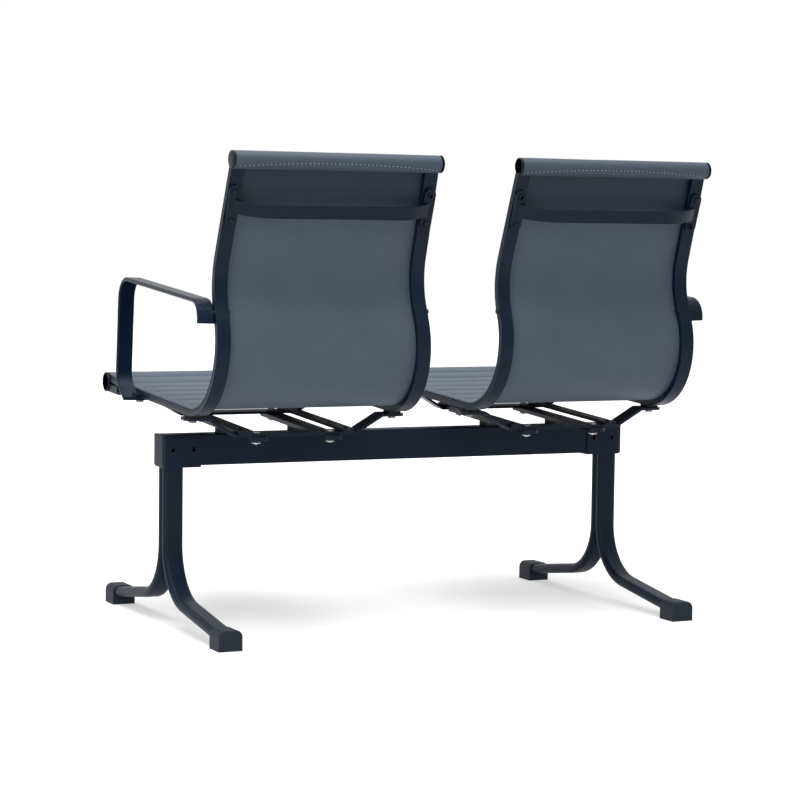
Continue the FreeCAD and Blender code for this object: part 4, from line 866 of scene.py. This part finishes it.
class Fastener:
    """One fastener as the CAD has it: its outer end, axis, length and head."""

    def __init__(self, points, axis):
        across = axis.orthogonal().normalized()
        other = axis.cross(across)
        middle = sum((self.centre(points, way) * way for way in (across, other)), Vector())
        depths = [point.dot(axis) for point in points]
        reaches = [(point - axis * depth - middle).length for point, depth in zip(points, depths)]
        self.radius = max(reaches)
        wide = [depth for depth, reach in zip(depths, reaches) if reach > 0.9 * self.radius]
        if sum(wide) / len(wide) < (max(depths) + min(depths)) / 2.0:
            axis = -axis
            depths = [-depth for depth in depths]
            wide = [-depth for depth in wide]
        self.axis = axis
        self.top = middle + axis * max(depths)
        self.length = max(depths) - min(depths)
        self.height = max(wide) - min(wide)

    def centre(self, points, way):
        places = [point.dot(way) for point in points]
        return (min(places) + max(places)) / 2.0


def solids_of(node):
    """The points of each separate solid in a CAD node."""
    mesh = bmesh.new()
    mesh.from_mesh(frame["nodes"][node].data)
    bmesh.ops.remove_doubles(mesh, verts=mesh.verts, dist=1e-6)
    solids = []
    for start in mesh.verts:
        if start.tag:
            continue
        start.tag = True
        reached = [start]
        for vertex in reached:
            for edge in vertex.link_edges:
                other = edge.other_vert(vertex)
                if not other.tag:
                    other.tag = True
                    reached.append(other)
        solids.append([vertex.co.copy() for vertex in reached])
    mesh.free()
    return solids


def roll_cap(radius, length):
    """End cap of a roll: rolled rim, dished face, small socket and a spigot inside the roll."""
    rim = [(0.66, 1.2), (0.72, 0.9), (0.78, 0.3), (0.86, 0.0), (0.94, 0.2), (0.99, 0.8), (1.0, 1.4)]
    return [(radius * 0.15, 1.9 * MM, HEXAGON), (radius * 0.15, 0.8 * MM, HEXAGON),
            (radius * 0.28, 0.7 * MM, ROUND), (radius * 0.34, 1.2 * MM, ROUND),
            *((radius * share, depth * MM, ROUND) for share, depth in rim),
            (radius, 3.0 * MM, ROUND), (radius * 0.6, 3.0 * MM, ROUND), (radius * 0.6, length, ROUND)]


FASTENERS = {  # way the head points, kind, finish
    "rail_bolts": (UNDER_SEAT, "bolt", "zinc_fasteners"),
    "strap_bolts": (-UNDER_SEAT, "bolt", "zinc_fasteners"),
    "strap_nuts": (UNDER_SEAT, "nut", "zinc_fasteners"),
    "bar_screws": (-UNDER_SEAT, "screw", "black_screws"),
    "spreader_screws": (BEHIND_BACK, "screw", "black_screws"),
    "saddle_screws": (Vector((0.0, 1.0, 0.0)), "screw", "black_screws"),
    "arm_bolts": (Vector((1.0, 0.0, 0.0)), "screw", "black_screws"),
    "top_roll_caps": (Vector((1.0, 0.0, 0.0)), "cap", "black_screws"),
    "front_roll_caps": (Vector((1.0, 0.0, 0.0)), "cap", "black_screws"),
}


def crisp_edges(piece):
    """Keeps edges that turn by more than CREASE from being shaded smooth."""
    mesh = bmesh.new()
    mesh.from_mesh(piece.data)
    for edge in mesh.edges:
        edge.smooth = not (edge.is_manifold and edge.calc_face_angle(0.0) > CREASE)
    mesh.to_mesh(piece.data)
    mesh.free()


class SEATING_OT_fasteners(bpy.types.Operator):
    """Cut the screws, bolts and nuts with their heads, sockets, washers and threads"""

    bl_idname = "seating.fasteners"
    bl_label = "Fasteners"

    def execute(self, context):
        for node, (way, kind, finish) in FASTENERS.items():
            mesh = bmesh.new()
            for points in solids_of(node):
                found = Fastener(points, way)
                if kind == "bolt":
                    profile = hexagon_bolt(found.height, found.length)
                elif kind == "cap":
                    profile = roll_cap(found.radius, found.length)
                elif kind == "nut":
                    profile = hexagon_nut(found.height)
                else:
                    profile = socket_screw(found.radius, found.height, found.radius * 0.5, found.length)
                turned(mesh, found.top, found.axis, profile)
            bmesh.ops.recalc_face_normals(mesh, faces=mesh.faces)
            piece = new_piece(node + "_cut", mesh, finish_for(finish))
            crisp_edges(piece)
            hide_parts(node)
        return {"FINISHED"}


class SEATING_OT_finishes(bpy.types.Operator):
    """Give every carried-over solid its finish"""

    bl_idname = "seating.finishes"
    bl_label = "Finishes"

    def execute(self, context):
        slots = {part["node"]: part["material_slot"] for part in frame["record"]["subparts"]}
        for node, solid in frame["nodes"].items():
            material = finish_for(slots[node])
            if not solid.material_slots:
                solid.data.materials.append(material)
            for slot in solid.material_slots:
                slot.material = material
        return {"FINISHED"}


# Stage

CAMERA_PLACE = (2.0536, 4.3171, 0.7667)
CAMERA_TURNS = tuple(math.radians(angle) for angle in (25.41, 4.13, 0.75))
SENSOR_WIDTH = 36.0
VIEW_END = 60.0
FLOOR_REACH = 14.0
FLOOR_WHITE = (0.80, 0.80, 0.80)
GLOW_BAND = (0.7, 2.6)
GLOW = (0.44, 1.0)
OVERHEAD_PANEL = ((0.4, 0.6, 3.4), (0.0, 0.0, 0.4), 3.2)
SIDE_PANEL = ((3.6, 3.2, 2.0), (0.0, 0.0, 0.5), 2.2)


class SEATING_OT_stage(bpy.types.Operator):
    """Set the floor, the lights and the camera"""

    bl_idname = "seating.stage"
    bl_label = "Stage"

    def execute(self, context):
        settings = context.scene.seating_stage
        self.make_camera(context, settings)
        self.make_floor(context)
        self.make_world(context, settings)
        self.make_lights(context, settings)
        context.scene.view_settings.view_transform = "Standard"
        return {"FINISHED"}

    def make_camera(self, context, settings):
        data = bpy.data.cameras.new("camera")
        data.lens = settings.lens
        data.sensor_width = SENSOR_WIDTH
        data.clip_end = VIEW_END
        camera = bpy.data.objects.new("camera", data)
        context.scene.collection.objects.link(camera)
        yaw, pitch, roll = CAMERA_TURNS
        ahead = Vector((-math.sin(yaw) * math.cos(pitch), -math.cos(yaw) * math.cos(pitch), -math.sin(pitch)))
        level = ahead.cross(Vector((0.0, 0.0, 1.0))).normalized()
        rise = level.cross(ahead)
        right = level * math.cos(roll) + rise * math.sin(roll)
        up = rise * math.cos(roll) - level * math.sin(roll)
        turn = Matrix((right, up, -ahead)).transposed().to_4x4()
        camera.matrix_world = Matrix.Translation(CAMERA_PLACE) @ turn
        context.scene.camera = camera

    def make_floor(self, context):
        mesh = bmesh.new()
        bmesh.ops.create_grid(mesh, x_segments=8, y_segments=8, size=FLOOR_REACH)
        data = bpy.data.meshes.new("floor")
        mesh.to_mesh(data)
        mesh.free()
        floor = bpy.data.objects.new("floor", data)
        context.scene.collection.objects.link(floor)
        finish = Finish("floor_white")
        finish.surface(Base_Color=FLOOR_WHITE, Roughness=0.9, Specular_IOR_Level=0.1)
        path = finish.node("ShaderNodeLightPath")
        mirrored = path.out("Is Glossy Ray").highest(path.out("Is Transmission Ray"))
        seen = path.out("Is Camera Ray").highest(mirrored)
        away = finish.node("ShaderNodeVectorMath", {"operation": "LENGTH"}, {0: finish.place()})
        strength = seen * away.out("Value").step(*GLOW_BAND, *GLOW)
        glow = finish.node("ShaderNodeEmission", {}, {"Color": (1.0, 1.0, 1.0), "Strength": strength})
        both = finish.node("ShaderNodeAddShader")
        finish.tree.links.new(finish.shader.outputs[0], both.node.inputs[0])
        finish.tree.links.new(glow.node.outputs[0], both.node.inputs[1])
        finish.tree.links.new(both.node.outputs[0], finish.output.inputs["Surface"])
        data.materials.append(finish.material)

    def make_world(self, context, settings):
        world = bpy.data.worlds.new("studio")
        world.use_nodes = True
        context.scene.world = world
        tree = world.node_tree
        tree.nodes.clear()
        path = tree.nodes.new("ShaderNodeLightPath")
        seen = tree.nodes.new("ShaderNodeMath")
        seen.operation = "MAXIMUM"
        tree.links.new(path.outputs["Is Camera Ray"], seen.inputs[0])
        tree.links.new(path.outputs["Is Glossy Ray"], seen.inputs[1])
        strength = tree.nodes.new("ShaderNodeMapRange")
        strength.inputs["To Min"].default_value = settings.ambient
        strength.inputs["To Max"].default_value = 1.0
        tree.links.new(seen.outputs[0], strength.inputs["Value"])
        sky = tree.nodes.new("ShaderNodeBackground")
        sky.inputs["Color"].default_value = (1.0, 1.0, 1.0, 1.0)
        tree.links.new(strength.outputs[0], sky.inputs["Strength"])
        output = tree.nodes.new("ShaderNodeOutputWorld")
        tree.links.new(sky.outputs[0], output.inputs["Surface"])

    def make_lights(self, context, settings):
        panels = (("overhead_panel", OVERHEAD_PANEL, settings.overhead),
                  ("side_panel", SIDE_PANEL, settings.side))
        for name, (place, aim, size), power in panels:
            data = bpy.data.lights.new(name, "AREA")
            data.shape = "SQUARE"
            data.size = size
            data.energy = power
            lamp = bpy.data.objects.new(name, data)
            direction = Vector(aim) - Vector(place)
            lamp.matrix_world = (Matrix.Translation(place)
                                 @ direction.to_track_quat("-Z", "Y").to_matrix().to_4x4())
            context.scene.collection.objects.link(lamp)


# Panel and registration

class SEATING_PT_panel(bpy.types.Panel):
    """Lists the steps of the seating"""

    bl_idname = "SEATING_PT_panel"
    bl_label = "Seating"
    bl_space_type = "VIEW_3D"
    bl_region_type = "UI"
    bl_category = "Seating"

    def draw(self, context):
        layout = self.layout
        for group in GROUPS:
            settings = getattr(context.scene, group)
            box = layout.box()
            for name in settings.bl_rna.properties.keys():
                if name not in ("rna_type", "name"):
                    box.prop(settings, name)
        for step in STEPS:
            layout.operator(step.bl_idname)


STEPS = (SEATING_OT_stage, SEATING_OT_finishes, SEATING_OT_slings, SEATING_OT_stitching,
         SEATING_OT_fasteners)
GROUPS = {"seating_sling": SlingSizes, "seating_colours": FinishColours, "seating_stage": StageSettings}


def register():
    for group in GROUPS.values():
        bpy.utils.register_class(group)
    for name, group in GROUPS.items():
        setattr(bpy.types.Scene, name, bpy.props.PointerProperty(type=group))
    for step in STEPS:
        bpy.utils.register_class(step)
    bpy.utils.register_class(SEATING_PT_panel)


def unregister():
    bpy.utils.unregister_class(SEATING_PT_panel)
    for step in reversed(STEPS):
        bpy.utils.unregister_class(step)
    for name in GROUPS:
        delattr(bpy.types.Scene, name)
    for group in GROUPS.values():
        bpy.utils.unregister_class(group)


def main():
    register()
    for step in STEPS:
        prefix, name = step.bl_idname.split(".")
        getattr(getattr(bpy.ops, prefix), name)()


if __name__ == "__main__":
    main()
